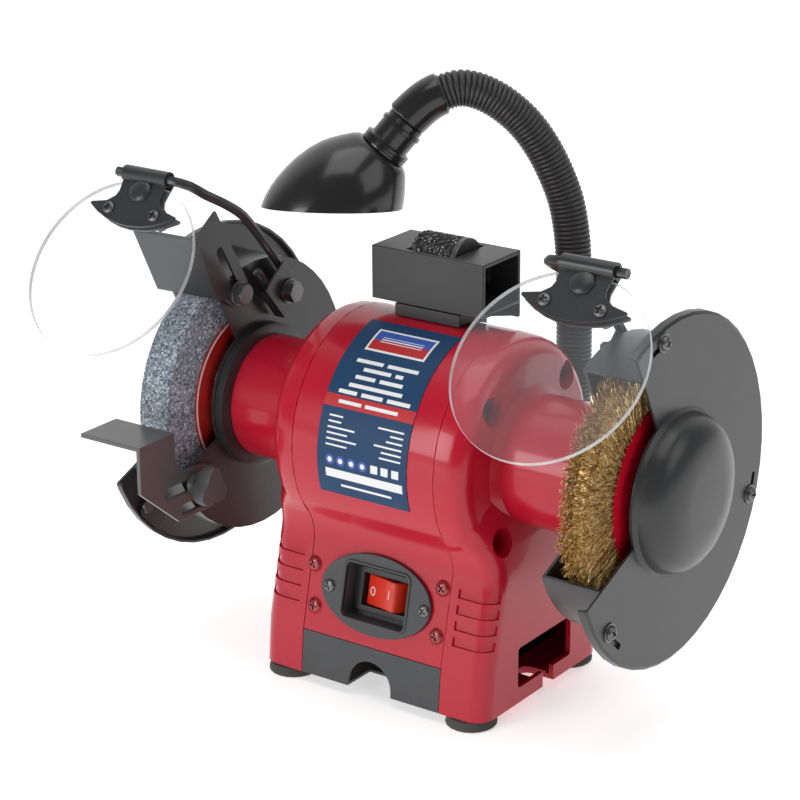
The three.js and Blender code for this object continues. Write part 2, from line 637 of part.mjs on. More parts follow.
// Round pane with a flat top under the clip's barrel.
function makeEyeShield() {
  const outline = ellipse(SHIELD_R, SHIELD_R, 48).map(([x, z]) => [x, Math.min(z, PIVOT_UP - 5.2)]);
  return prismY(outline, -SHIELD_T / 2, SHIELD_T / 2);
}

const shieldRod = makeShieldRod();
const rodClamp = makeRodClamp();
const clampBolt = makeClampBolt();
for (const [side, sign, [swing, tilt], place] of [['right', 1, RIGHT_SET, (g) => g.clone()],
  ['left', -1, LEFT_SET, mirrored]]) {
  add(`${side}_clamp_bolt`, place(clampBolt), blackPaint);
  const arm = new THREE.Group();
  arm.position.set(0, CLAMP_BOLT_Y, CLAMP_BOLT_Z);
  arm.rotation.x = swing;
  grinder.add(arm);
  add(`${side}_shield_rod`, place(shieldRod), blackPaint, arm);
  add(`${side}_rod_clamp`, place(rodClamp), blackPaint, arm);
  const visor = new THREE.Group();
  visor.rotation.x = -tilt;
  visor.position.set(sign * SHIELD_X, PIVOT_Y - CLAMP_BOLT_Y, PIVOT_Z - CLAMP_BOLT_Z)
    .sub(new THREE.Vector3(0, -PIVOT_OUT, PIVOT_UP).applyEuler(visor.rotation));
  arm.add(visor);
  add(`${side}_shield_clip`, makeShieldClip(), blackPaint, visor);
  add(`${side}_eye_shield`, makeEyeShield(), clearPlastic, visor);
}

// ---- switch, drawn flat in its own frame: -Y out of the machine, Z up the slope ----
const RECESS_DEPTH = 9.5;
const ROCKER_PIVOT = 15;         // behind the slope's surface
const ROCKER_REST = -9;          // degrees; the right-hand side stands proud when off
const switchPanel = new THREE.Group();
switchPanel.position.set(0, switchY, SWITCH_Z);
switchPanel.rotation.x = -SLOPE;
grinder.add(switchPanel);

function makeSwitchBezel() {
  const plate = prismY(ellipse(37, 23, 32), -2.3, -GAP);
  const tray = prismY(roundedRect(23, 17.5, 4), -1, RECESS_DEPTH + 1.5);
  const recess = prismY(roundedRect(21, 15.5, 3), -3, RECESS_DEPTH);
  const opening = prismY(roundedRect(17.3, 11.3, 1), RECESS_DEPTH - 1, RECESS_DEPTH + 3);
  return cut(join(plate, tray), recess, opening);
}

function makeSwitchBody() {
  const front = RECESS_DEPTH - 2.2;
  const frame = prismY(roundedRect(18.5, 12.6, 1), front, RECESS_DEPTH - GAP);
  const body = prismY(roundedRect(17, 11, 1), RECESS_DEPTH - 1, 31);
  const well = prismY(roundedRect(15.2, 9.2, 0.5), front - 1, 26);
  return cut(join(frame, body), well);
}

function makeRocker() {
  const face = [[-12.4, -7.4], [0, -6.4], [12.4, -7.4]];
  const outline = [...face, [13.6, -5], [14.2, -1.5], [13, 3], [-13, 3], [-14.2, -1.5], [-13.6, -5]];
  return prismZ(outline, -8.7, 8.7).rotateZ(rad(ROCKER_REST));
}

add('switch_bezel', makeSwitchBezel(), darkPlastic, switchPanel);
add('switch_body', makeSwitchBody(), blackPlastic, switchPanel);
add('switch_rocker', makeRocker(), rockerRed, switchPanel).position.set(0, ROCKER_PIVOT, 0);

// ---- wheel dresser in its holder on top ----
const DRESSER_Z = 73.5;          // underside of the dresser's box
const DRESSER_TOP = 104;
const CUTTER_Y = 15;
const CUTTER_Z = 96.3;
const CUTTER_R = 15;
const CUTTER_START = -14.5;      // left face of the first star wheel
const CUTTER_END = 14;

function makePlinth() {
  const block = box(-21.5, 21.5, -3.5, 24, 55, DRESSER_Z - GAP);
  return cut(block, rod(-30, 30, BODY_R + GAP, 96));
}

// Folded box, open to the right, with two brackets inside that carry the pin.
function makeDresserBox() {
  const wall = 2.4;
  const shell = cut(box(-37, 37, -3.5, 33.5, DRESSER_Z, DRESSER_TOP),
    box(-37 + wall, 38, -3.5 + wall, 33.5 - wall, DRESSER_Z + wall, DRESSER_TOP - wall));
  const skirt = box(18, 37, 33.5 - wall, 33.5, 66, DRESSER_Z + 1);
  const brackets = [CUTTER_START - 4, CUTTER_END + 1.5].map((x) =>
    box(x, x + 2.5, -2, 32, DRESSER_Z + 10, DRESSER_TOP - 1));
  const slot = box(CUTTER_START - 1.5, CUTTER_END + 1.5, CUTTER_Y - 14.8, CUTTER_Y + 14.8,
    DRESSER_TOP - 4, DRESSER_TOP + 1);
  const bore = rod(-22, 22, 3.3, 16).translate(0, CUTTER_Y, CUTTER_Z);
  return cut(join(shell, skirt, ...brackets), slot, bore);
}

// Star wheels side by side on the pin, each turned half a tooth from the next, and a plain end disc.
function makeCutters() {
  const teeth = 8;
  const star = (turn) => Array.from({ length: teeth * 2 }, (_, i) => {
    const angle = Math.PI * i / teeth + turn;
    const radius = i % 2 ? CUTTER_R - 2.2 : CUTTER_R;
    return [radius * Math.cos(angle), radius * Math.sin(angle)];
  });
  const discs = Array.from({ length: 5 }, (_, i) =>
    prismX(star(i % 2 ? Math.PI / teeth : 0), CUTTER_START + i * 5, CUTTER_START + i * 5 + 4.4));
  const hub = rod(CUTTER_START - 0.5, CUTTER_END + 0.5, 9, 16);
  const endDisc = rod(CUTTER_END - 3.5, CUTTER_END, CUTTER_R - 0.6, 24);
  return cut(join(hub, ...discs, endDisc), rod(CUTTER_START - 2, CUTTER_END + 2, 3.1, 12));
}

add('dresser_plinth', makePlinth(), blackPlastic);
add('dresser_box', makeDresserBox(), blackPlastic);
add('dresser_cutters', makeCutters(), steel).position.set(0, CUTTER_Y, CUTTER_Z);
add('dresser_pin', rod(CUTTER_START - 5.5, CUTTER_END + 5.5, 2.9, 16), steel)
  .position.set(0, CUTTER_Y, CUTTER_Z);

// ---- work lamp ----
// The gooseneck lies in one upright plane through its foot. "out" is the distance from the foot
// in that plane, towards the left and the operator.
function lampPoint(out, z) {
  return [LAMP_X - out * Math.cos(LAMP_TURN), LAMP_Y - out * Math.sin(LAMP_TURN), z];
}

const LOW_PIVOT = [0, 20];       // [out, z] of the three places where the gooseneck is bent
const SIDE_PIVOT = [1, 88];
const TILT_PIVOT = [76, 186];
const PIVOT_GAP = 3;
const HEAD_TILT = rad(49.8);     // the lamp points this far below level

// A length of gooseneck with a ball at its far end and a cup at its near end.
function makeNeck(route, ball, cup) {
  const sphere = (radius, at) =>
    closed(new THREE.SphereGeometry(radius, 10, 8).translate(...lampPoint(...at)));
  const steps = Math.max(3, 2 * route.length - 2);
  const tube = bar(smooth(route.map(([out, z]) => lampPoint(out, z))), NECK_TUBE_R, steps, 9);
  const balled = ball ? join(tube, sphere(NECK_TUBE_R - 0.9, ball)) : tube;
  return cup ? cut(balled, sphere(NECK_TUBE_R - 0.1, cup)) : balled;
}

function makeLampSocket() {
  const post = rod(-88, -44, 13, 20).rotateY(-Math.PI / 2).translate(LAMP_X, LAMP_Y, 0);
  const bracket = box(LAMP_X - 13, LAMP_X + 13, 53.8, LAMP_Y, -84, -62);
  const bore = rod(-80, -40, NECK_TUBE_R + 0.6, 20).rotateY(-Math.PI / 2).translate(LAMP_X, LAMP_Y, 0);
  return cut(join(post, bracket), bore);
}

const lowRoute = [[0, -74], [0, -40], [0, -10], [0, LOW_PIVOT[1] - PIVOT_GAP]];
const middleRoute = [[0, LOW_PIVOT[1] + PIVOT_GAP], [0, 45], [0.2, 65],
  [0.9, SIDE_PIVOT[1] - PIVOT_GAP]];
const upperRoute = [[1.1, SIDE_PIVOT[1] + PIVOT_GAP], [2.5, 106], [6, 124], [12, 140], [20, 155.5],
  [30, 169], [42, 180], [54, 187], [65, 189.4], [TILT_PIVOT[0] - 2.75, TILT_PIVOT[1] + 1.25]];
const endRoute = [[TILT_PIVOT[0] + 2.7, TILT_PIVOT[1] - 1.4], [84, 181], [92, 174]];

add('lamp_socket', makeLampSocket(), blackPlastic);
add('neck_lower', makeNeck(lowRoute, LOW_PIVOT, null), blackPlastic);
add('neck_middle', makeNeck(middleRoute, SIDE_PIVOT, LOW_PIVOT), blackPlastic);
add('neck_upper', makeNeck(upperRoute, TILT_PIVOT, SIDE_PIVOT), blackPlastic);

// The lamp head is turned about its own axis, which runs through the middle of the shade.
const HEAD = [107.5, 154.6];     // [out, z] where the shade starts
const headPoint = new THREE.Vector3(...lampPoint(...HEAD));
const headAxis = new THREE.Vector3(
  ...lampPoint(HEAD[0] + Math.cos(HEAD_TILT), HEAD[1] - Math.sin(HEAD_TILT))).sub(headPoint);

// Moves a piece drawn along X into the lamp head's place.
function inHead(geometry) {
  const turn = new THREE.Quaternion().setFromUnitVectors(new THREE.Vector3(1, 0, 0), headAxis);
  return geometry.applyQuaternion(turn).translate(...headPoint.toArray());
}

function makeSleeve() {
  const body = inHead(turned([[-26, 0], [-26, 10.6], [-24, 11.4], [-12, 11.8], [-11, 13], [-5, 13.6],
    [-4, 13], [-GAP, 13], [-GAP, 0]], 20));
  const stub = makeNeck(endRoute, null, TILT_PIVOT);
  return join(body, stub);
}

const SHADE_PROFILE = [[0, 14.2], [3, 18.6], [8.4, 23.2], [17.3, 29], [33, 34], [48, 35.2], [60, 34],
  [72, 29.5]];
const SHADE_WALL = 1.6;
const MOUTH_MIDDLE = [138, 123.3];      // [out, z] of the middle of the shade's mouth
const MOUTH_RISE = [0.037, 0.173];      // slope of the mouth along the arm and across it

// Shade of revolution, cut off by the nearly level plane of its mouth.
function makeShade() {
  const inner = SHADE_PROFILE.slice(1).map(([x, r]) => [x + 0.4, r - SHADE_WALL]);
  const outside = turned([[0, 0], ...SHADE_PROFILE, [72, 0]], 24);
  const inside = turned([[SHADE_WALL, 0], [SHADE_WALL, 13], ...inner, [80, 26], [80, 0]], 24);
  const [cos, sin] = [Math.cos(LAMP_TURN), Math.sin(LAMP_TURN)];
  const along = new THREE.Vector3(-cos, -sin, MOUTH_RISE[0]).normalize();
  const across = new THREE.Vector3(sin, -cos, MOUTH_RISE[1]).normalize();
  const up = new THREE.Vector3().crossVectors(along, across).normalize();
  const below = closed(new THREE.BoxGeometry(300, 300, 120).translate(0, 0, -60));
  below.applyMatrix4(new THREE.Matrix4().makeBasis(along, new THREE.Vector3().crossVectors(up, along), up));
  below.translate(...lampPoint(...MOUTH_MIDDLE));
  return cut(inHead(outside), inHead(inside), below);
}

function makeBulb() {
  const start = SHADE_WALL + GAP;
  return inHead(turned([[start, 0], [start, 9], [9, 9], [12, 11], [20, 15], [27, 16], [33, 13.5],
    [36.5, 8], [38, 0]], 16));
}

add('lamp_sleeve', makeSleeve(), blackPlastic);
add('lamp_shade', makeShade(), glossBlack);
add('lamp_bulb', makeBulb(), bulbWhite);

// ---- mains cable inlet at the rear ----
function makeGland() {
  const body = ring([[0, 4.2], [0, 9], [5, 9], [6, 7], [18, 5.6], [18, 4.2]], 16);
  return body.rotateZ(Math.PI / 2).translate(-30, panelHalf + 1, PANEL_Z + 14);
}

add('cable_gland', makeGland(), blackPlastic);

grinder.position.set(0, MIDDLE_Y, SHAFT_HEIGHT);
const part = new THREE.Group();
part.add(grinder);
export default part;
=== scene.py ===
import json
import math
import random

import bmesh
import bpy
from mathutils import Matrix, Quaternion, Vector


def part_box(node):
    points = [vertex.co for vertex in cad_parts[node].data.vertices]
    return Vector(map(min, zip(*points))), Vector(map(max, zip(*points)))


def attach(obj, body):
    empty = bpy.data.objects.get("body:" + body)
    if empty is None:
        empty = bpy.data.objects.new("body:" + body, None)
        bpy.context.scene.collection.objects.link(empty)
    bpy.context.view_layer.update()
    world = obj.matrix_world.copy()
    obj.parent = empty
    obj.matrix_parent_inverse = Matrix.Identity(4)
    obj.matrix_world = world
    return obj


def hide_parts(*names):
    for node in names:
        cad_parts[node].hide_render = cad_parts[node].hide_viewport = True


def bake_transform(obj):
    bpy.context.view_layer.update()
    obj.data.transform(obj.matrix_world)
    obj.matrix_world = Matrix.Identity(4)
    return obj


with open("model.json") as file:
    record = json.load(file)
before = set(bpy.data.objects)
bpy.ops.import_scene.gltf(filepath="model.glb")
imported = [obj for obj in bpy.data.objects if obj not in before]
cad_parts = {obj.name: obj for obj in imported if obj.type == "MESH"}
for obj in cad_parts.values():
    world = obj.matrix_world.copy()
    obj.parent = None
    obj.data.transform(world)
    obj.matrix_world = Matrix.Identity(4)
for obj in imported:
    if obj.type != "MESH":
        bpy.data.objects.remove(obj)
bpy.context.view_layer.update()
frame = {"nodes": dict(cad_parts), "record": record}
nodes = frame["nodes"]
MM = 0.001


def middle(node):
    low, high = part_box(node)
    return (low + high) / 2


AXIS = middle("shaft")                       # the spindle axis, half way along it


def at(x, y, z):
    """A point given in millimetres from the middle of the spindle, in the row frame."""
    return AXIS + Vector((x, y, z)) * MM


# ------------------------------------------------------------------ materials
def add_object(name, data):
    o = bpy.data.objects.new(name, data)
    bpy.context.scene.collection.objects.link(o)
    return o


def new_material(name):
    material = bpy.data.materials.new(name)
    material.use_nodes = True
    tree = material.node_tree
    shader = tree.nodes["Principled BSDF"]
    return material, tree, shader


def noise(tree, scale, detail=3.0, roughness=0.55, stretch=(1, 1, 1)):
    """Noise in object space, so that it stays on a piece as it moves."""
    coords = tree.nodes.new("ShaderNodeTexCoord")
    mapping = tree.nodes.new("ShaderNodeMapping")
    mapping.inputs["Scale"].default_value = stretch
    texture = tree.nodes.new("ShaderNodeTexNoise")
    texture.inputs["Scale"].default_value = scale
    texture.inputs["Detail"].default_value = detail
    texture.inputs["Roughness"].default_value = roughness
    tree.links.new(coords.outputs["Object"], mapping.inputs["Vector"])
    tree.links.new(mapping.outputs["Vector"], texture.inputs["Vector"])
    return texture.outputs["Fac"]


def ramp(tree, value, stops):
    node = tree.nodes.new("ShaderNodeValToRGB")
    node.color_ramp.elements[0].position = stops[0][0]
    node.color_ramp.elements[0].color = (*stops[0][1], 1)
    node.color_ramp.elements[1].position = stops[-1][0]
    node.color_ramp.elements[1].color = (*stops[-1][1], 1)
    for position, colour in stops[1:-1]:
        node.color_ramp.elements.new(position).color = (*colour, 1)
    tree.links.new(value, node.inputs["Fac"])
    return node.outputs["Color"]


def spread(tree, value, low, high):
    node = tree.nodes.new("ShaderNodeMapRange")
    node.inputs["To Min"].default_value = low
    node.inputs["To Max"].default_value = high
    tree.links.new(value, node.inputs["Value"])
    return node.outputs["Result"]


def bump(tree, shader, value, strength, depth):
    node = tree.nodes.new("ShaderNodeBump")
    node.inputs["Strength"].default_value = strength
    node.inputs["Distance"].default_value = depth
    tree.links.new(value, node.inputs["Height"])
    tree.links.new(node.outputs["Normal"], shader.inputs["Normal"])


def scaled(colour, factor):
    return tuple(min(1.0, channel * factor) for channel in colour)


def surface(name, colour, rough, grain, bump_depth, variation=0.12, metallic=0.0, coat=0.0,
            detail=3.0, specular=0.5, stretch=(1, 1, 1), patches=25.0):
    """A finish with slow colour patches, fine grain in its gloss, and a bumped surface."""
    material, tree, shader = new_material(name)
    slow = noise(tree, patches, 4.0, 0.6)
    fine = noise(tree, grain, detail, 0.6, stretch)
    tone = ramp(tree, slow, [(0.3, scaled(colour, 1 - variation)), (0.7, scaled(colour, 1 + variation))])
    tree.links.new(tone, shader.inputs["Base Color"])
    tree.links.new(spread(tree, fine, rough * 0.8, min(1.0, rough * 1.25)), shader.inputs["Roughness"])
    bump(tree, shader, fine, 0.6, bump_depth)
    shader.inputs["Metallic"].default_value = metallic
    shader.inputs["Coat Weight"].default_value = coat
    shader.inputs["Coat Roughness"].default_value = 0.06
    shader.inputs["Specular IOR Level"].default_value = specular
    return material


def grit_material():
    """Vitrified abrasive: blue grey with light and dark grains."""
    material, tree, shader = new_material("grit")
    coords = tree.nodes.new("ShaderNodeTexCoord")
    cells = tree.nodes.new("ShaderNodeTexVoronoi")
    cells.inputs["Scale"].default_value = 900
    tree.links.new(coords.outputs["Object"], cells.inputs["Vector"])
    grains = ramp(tree, cells.outputs["Color"], [
        (0.12, (0.07, 0.085, 0.11)), (0.4, (0.22, 0.265, 0.32)), (0.72, (0.36, 0.415, 0.48)),
        (0.93, (0.75, 0.8, 0.85))])
    tree.links.new(grains, shader.inputs["Base Color"])
    bump(tree, shader, cells.outputs["Distance"], 0.9, 0.0006)
    shader.inputs["Roughness"].default_value = 0.92
    return material


def bristle_material():
    material, tree, shader = new_material("bristles")
    tone = noise(tree, 420.0, 2.0, 0.7, (1, 1, 1))
    tree.links.new(ramp(tree, tone, [
        (0.34, (0.20, 0.11, 0.03)), (0.5, (0.72, 0.47, 0.17)), (0.68, (1.0, 0.86, 0.50))]),
        shader.inputs["Base Color"])
    shader.inputs["Metallic"].default_value = 0.6
    shader.inputs["Roughness"].default_value = 0.4
    return material


def clear_material():
    """Thin polycarbonate. It is mostly seen through, with a faint veil and soft reflections."""
    material, tree, shader = new_material("clear_plastic")
    dust = noise(tree, 60.0, 5.0, 0.7)
    tree.links.new(spread(tree, dust, 0.05, 0.12), shader.inputs["Roughness"])
    shader.inputs["Base Color"].default_value = (0.62, 0.66, 0.70, 1)
    shader.inputs["IOR"].default_value = 1.5
    shader.inputs["Alpha"].default_value = 0.06
    return material


def edge_material():
    """The pane's cut rim, which gathers light."""
    material, tree, shader = new_material("pane_edge")
    tone = noise(tree, 90.0)
    tree.links.new(ramp(tree, tone, [(0.3, (0.50, 0.52, 0.54)), (0.7, (0.70, 0.72, 0.74))]),
                   shader.inputs["Base Color"])
    shader.inputs["Roughness"].default_value = 0.25
    shader.inputs["Alpha"].default_value = 0.75
    return material


def speckled_material():
    """Dark hardened steel with painted glints: the bright points stand for light caught on the cutters'
    teeth.
    """
    material, tree, shader = new_material("cutter_steel")
    coords = tree.nodes.new("ShaderNodeTexCoord")
    cells = tree.nodes.new("ShaderNodeTexVoronoi")
    cells.inputs["Scale"].default_value = 520
    tree.links.new(coords.outputs["Object"], cells.inputs["Vector"])
    tree.links.new(ramp(tree, cells.outputs["Distance"], [
        (0.16, (0.62, 0.62, 0.60)), (0.26, (0.05, 0.05, 0.05)), (0.8, (0.02, 0.02, 0.02))]),
        shader.inputs["Base Color"])
    shader.inputs["Metallic"].default_value = 0.4
    shader.inputs["Roughness"].default_value = 0.45
    return material


MATERIALS = {
    "red_paint": surface("red_paint", (0.50, 0.008, 0.028), 0.24, 420.0, 0.000015, 0.05, coat=0.3,
                         specular=0.3, patches=9),
    "black_paint": surface("black_paint", (0.031, 0.032, 0.034), 0.29, 900.0, 0.00004, 0.12, specular=0.5),
    "black_plastic": surface("black_plastic", (0.030, 0.030, 0.031), 0.36, 1500.0, 0.00006, 0.15),
    "dark_plastic": surface("dark_plastic", (0.055, 0.059, 0.062), 0.50, 1600.0, 0.00008, 0.10),
    "gloss_black": surface("gloss_black", (0.014, 0.014, 0.014), 0.22, 300.0, 0.00003, 0.1, coat=0.25),
    "rubber": surface("rubber", (0.060, 0.060, 0.056), 0.75, 800.0, 0.0001, 0.2),
    "steel": surface("steel", (0.52, 0.52, 0.53), 0.30, 700.0, 0.00004, 0.12, metallic=1.0),
    "laminations": surface("laminations", (0.25, 0.26, 0.28), 0.5, 900.0, 0.0001, 0.15, metallic=0.8,
                           stretch=(6, 1, 1)),
    "copper": surface("copper", (0.62, 0.27, 0.11), 0.35, 900.0, 0.0001, 0.15, metallic=1.0),
    "grit": grit_material(),
    "label_red": surface("label_red", (0.90, 0.030, 0.018), 0.42, 700.0, 0.00005, 0.08),
    "brass": surface("brass", (0.55, 0.36, 0.10), 0.35, 900.0, 0.0001, 0.2, metallic=1.0),
    "clear_plastic": clear_material(),
    "rocker_red": surface("rocker_red", (0.80, 0.030, 0.008), 0.30, 500.0, 0.00003, 0.04, coat=0.3),
    "bulb_white": surface("bulb_white", (0.88, 0.86, 0.80), 0.30, 300.0, 0.00002, 0.03),
}
NAVY = surface("plate_navy", (0.012, 0.052, 0.130), 0.45, 900.0, 0.00001, 0.06, specular=0.25)
PLATE_RED = surface("plate_red", (0.50, 0.016, 0.020), 0.40, 900.0, 0.00002, 0.05)
PLATE_BLUE = surface("plate_blue", (0.030, 0.095, 0.42), 0.40, 900.0, 0.00002, 0.05)
PRINT_WHITE = surface("print_white", (0.84, 0.85, 0.86), 0.45, 900.0, 0.00001, 0.03)
SCREW_STEEL = surface("screw_steel", (0.17, 0.17, 0.175), 0.38, 500.0, 0.00003, 0.15, metallic=1.0)
DARK_STEEL = surface("dark_steel", (0.16, 0.16, 0.165), 0.36, 500.0, 0.00004, 0.2, metallic=0.9)
PANEL_SCREW = surface("panel_screw_steel", (0.34, 0.085, 0.09), 0.34, 500.0, 0.00003, 0.2, metallic=0.85)
CUTTER_STEEL = speckled_material()
REST_STEEL = surface("rest_steel", (0.085, 0.084, 0.083), 0.30, 500.0, 0.00006, 0.16, specular=0.7)
KNOB_PLASTIC = surface("knob_plastic", (0.085, 0.086, 0.088), 0.46, 1200.0, 0.00005, 0.08)
BRISTLES = bristle_material()
PANE_EDGE = edge_material()


# ------------------------------------------------------------------ carried-over CAD nodes
WELD_DISTANCE = 0.00001
FLAT_ANGLE, SHARP_ANGLE, SPLIT_ANGLE = math.radians(0.6), math.radians(32.0), math.radians(50)


def dress(node, material, bevel, dissolve):
    """Gives a CAD node its finish, rounded edges and smooth curved faces, by modifiers only."""
    o = nodes[node]
    for face in o.data.polygons:
        face.use_smooth = True
    weld = o.modifiers.new("weld", "WELD")
    weld.merge_threshold = WELD_DISTANCE
    if dissolve:
        flat = o.modifiers.new("flat", "DECIMATE")
        flat.decimate_type = "DISSOLVE"
        flat.angle_limit = FLAT_ANGLE
    if bevel:
        round_off = o.modifiers.new("round_off", "BEVEL")
        round_off.limit_method = "ANGLE"
        round_off.angle_limit = SHARP_ANGLE
        round_off.width = bevel * MM
        round_off.segments = 2
        round_off.use_clamp_overlap = True
    shade = o.modifiers.new("shade", "WEIGHTED_NORMAL")
    shade.keep_sharp = True
    split = o.modifiers.new("split", "EDGE_SPLIT")
    split.split_angle = SPLIT_ANGLE
    split.use_edge_sharp = False
    o.data.materials.clear()
    o.data.materials.append(material)


FINISH_OF = {entry["node"]: entry["material_slot"] for entry in frame["record"]["subparts"]}
BEVELS = {
    "centre_shell": 0.5, "right_end_housing": 0.8, "left_end_housing": 0.8, "base_cover": 0.3,
    "switch_bezel": 0.5, "switch_body": 0.4, "switch_rocker": 0.5, "dresser_plinth": 0.5,
    "dresser_box": 1.1, "tool_rest": 0.9, "tool_rest_knob": 0.8, "spark_arrestor": 0.3,
    "right_guard": 0.3, "left_guard": 0.3, "right_guard_cover": 0.3, "left_guard_cover": 0.3,
    "grinding_wheel": 0.5, "lamp_socket": 0.5, "dresser_cutters": 0.3,
    "right_shield_clip": 0.3, "left_shield_clip": 0.3, "right_rod_clamp": 0.3, "left_rod_clamp": 0.3,
    "right_clamp_bolt": 0.4, "left_clamp_bolt": 0.4, "right_nut": 0.5, "left_nut": 0.5,
    "foot_front_left": 0.6, "foot_front_right": 0.6, "foot_rear_left": 0.6, "foot_rear_right": 0.6,
}
HUB_CRIMSON = surface("hub_crimson", (0.66, 0.004, 0.022), 0.36, 700.0, 0.00005, 0.08)
SPECIAL = {
    "wire_wheel_hub": HUB_CRIMSON, "tool_rest": REST_STEEL, "tool_rest_knob": KNOB_PLASTIC,
    "right_clamp_bolt": DARK_STEEL, "left_clamp_bolt": DARK_STEEL, "dresser_cutters": CUTTER_STEEL,
}
KEEP_TRIANGLES = {"right_guard_cover", "left_guard_cover"}    # flat faces with slots close to their edges
for name, slot_name in FINISH_OF.items():
    dress(name, SPECIAL.get(name, MATERIALS[slot_name]), BEVELS.get(name, 0.0), name not in KEEP_TRIANGLES)


# ------------------------------------------------------------------ mesh building
def lathe(profile, segments=24):
    """Vertices and faces of [radius, height] pairs turned about Z."""
    verts, rows = [], []
    for radius, height in profile:
        if radius < 1e-6:
            rows.append([len(verts)])
            verts.append((0.0, 0.0, height))
            continue
        rows.append(list(range(len(verts), len(verts) + segments)))
        for i in range(segments):
            angle = 2 * math.pi * i / segments
            verts.append((radius * math.cos(angle), radius * math.sin(angle), height))
    faces = []
    for lower, upper in zip(rows, rows[1:]):
        for i in range(segments):
            a, b = lower[i % len(lower)], lower[(i + 1) % len(lower)]
            c, d = upper[(i + 1) % len(upper)], upper[i % len(upper)]
            faces.append([v for k, v in enumerate((a, b, c, d)) if v not in (a, b, c, d)[:k]])
    return verts, [f for f in faces if len(f) > 2]


def prism(outline, low, high):
    """Vertices and faces of an outline pulled up along Z."""
    count = len(outline)
    verts = [(x, y, low) for x, y in outline] + [(x, y, high) for x, y in outline]
    faces = [[i, (i + 1) % count, (i + 1) % count + count, i + count] for i in range(count)]
    return verts, faces + [list(range(count))[::-1], list(range(count, 2 * count))]


def regular(radius, sides):
    angles = [2 * math.pi * i / sides for i in range(sides)]
    return [(radius * math.cos(a), radius * math.sin(a)) for a in angles]


def mesh_of(name, verts, faces):
    mesh = bpy.data.meshes.new(name)
    mesh.from_pydata([tuple(c * MM for c in v) for v in verts], [], faces)
    work = bmesh.new()
    work.from_mesh(mesh)
    bmesh.ops.remove_doubles(work, verts=work.verts, dist=1e-7)
    bmesh.ops.recalc_face_normals(work, faces=work.faces)
    work.to_mesh(mesh)
    work.free()
    return mesh


def smooth_mesh(mesh, angle=38.0):
    for face in mesh.polygons:
        face.use_smooth = True
    mesh.set_sharp_from_angle(angle=math.radians(angle))


def place(name, mesh, material, body, matrix=None, bevel=0.0, segments=2, angle=38.0):
    o = add_object(name, mesh)
    if not mesh.materials:
        mesh.materials.append(material)
    smooth_mesh(mesh, angle)
    if matrix is not None:
        o.matrix_world = matrix
    if bevel:
        rounding = o.modifiers.new("rounding", "BEVEL")
        rounding.width = bevel * MM
        rounding.segments = segments
        rounding.limit_method = "ANGLE"
        rounding.angle_limit = math.radians(35)
    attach(o, body)
    return o


def facing(point, outward, turn=0.0):
    """Matrix that stands a piece drawn along +Z on a point, pointing outward."""
    rotation = Vector((0, 0, 1)).rotation_difference(Vector(outward).normalized())
    spin = Quaternion((0, 0, 1), turn)
    return Matrix.Translation(point) @ (rotation @ spin).to_matrix().to_4x4()


def apply_boolean(base, tool, operation="DIFFERENCE"):
    """Mesh of base with the tool's shape taken out of it, or kept where both are."""
    a = add_object("boolean_base", base)
    b = add_object("boolean_tool", tool)
    step = a.modifiers.new("cut", "BOOLEAN")
    step.operation = operation
    step.object = b
    step.solver = "EXACT"
    bpy.context.view_layer.update()
    result = bpy.data.meshes.new_from_object(a.evaluated_get(bpy.context.evaluated_depsgraph_get()))
    bpy.data.objects.remove(a)
    bpy.data.objects.remove(b)
    return result


# ------------------------------------------------------------------ screws, bolts, rivets
def cross_screw(radius, height):
    """Pan-head screw with a cross recess, its underside at zero."""
    profile = [(0, 0), (radius, 0), (radius, height * 0.35), (radius * 0.92, height * 0.68),
               (radius * 0.72, height * 0.92), (radius * 0.42, height), (0, height)]
    head = mesh_of("head", *lathe(profile, 28))
    arm, reach = radius * 0.13, radius * 0.62
    cross = [(arm, arm), (reach, arm), (reach, -arm), (arm, -arm), (arm, -reach), (-arm, -reach),
             (-arm, -arm), (-reach, -arm), (-reach, arm), (-arm, arm), (-arm, reach), (arm, reach)]
    recess = mesh_of("recess", *prism(cross, height * 0.35, height * 2))
    return apply_boolean(head, recess)


def washer(radius, bore, thickness):
    verts, faces = lathe([(bore, 0), (radius, 0), (radius, thickness * 0.8), (radius - 0.2, thickness),
                          (bore, thickness), (bore, 0)], 36)
    return mesh_of("washer", verts, faces)


def hex_head(radius, height):
    """Hexagon head with its corners turned off."""
    block = mesh_of("hexagon", *prism(regular(radius, 6), 0, height))
    cone = mesh_of("cone", *lathe([(0, -1), (radius * 1.2, -1), (radius * 1.2, height * 0.55),
                                   (radius * 0.84, height * 1.001), (0, height * 1.001)], 36))
    return apply_boolean(block, cone, "INTERSECT")


def dome(radius, height):
    """Rivet head, its underside at zero."""
    profile = [(0, 0), (radius, 0), (radius, height * 0.2)]
    for step in range(1, 7):
        angle = math.radians(15 * step)
        profile.append((radius * math.cos(angle * 0.97), height * (0.2 + 0.8 * math.sin(angle))))
    profile[-1] = (radius * 0.12, height)
    return mesh_of("dome", *lathe(profile + [(0, height)], 36))


SCREW_M4 = cross_screw(4.0, 2.4)
SCREW_SMALL = cross_screw(3.6, 2.0)


# ------------------------------------------------------------------ switch panel on the sloping front
SLOPE = math.radians(13)
PANEL_N = Vector((0, -math.cos(SLOPE), math.sin(SLOPE)))     # out of the machine
PANEL_UP = Vector((0, math.sin(SLOPE), math.cos(SLOPE)))     # up the slope
PANEL_MIDDLE = at(0, -52.04, -80)                            # on the slope, under the switch


def on_panel(x, up, out=0.0):
    return PANEL_MIDDLE + (Vector((x, 0, 0)) + PANEL_UP * up + PANEL_N * out) * MM


def panel_matrix(x, up, out=0.0):
    """A piece drawn in X (right), Y (up the slope) and Z (out of the machine)."""
    turn = Matrix((Vector((1, 0, 0)), PANEL_UP, PANEL_N)).transposed().to_4x4()
    return Matrix.Translation(on_panel(x, up, out)) @ turn


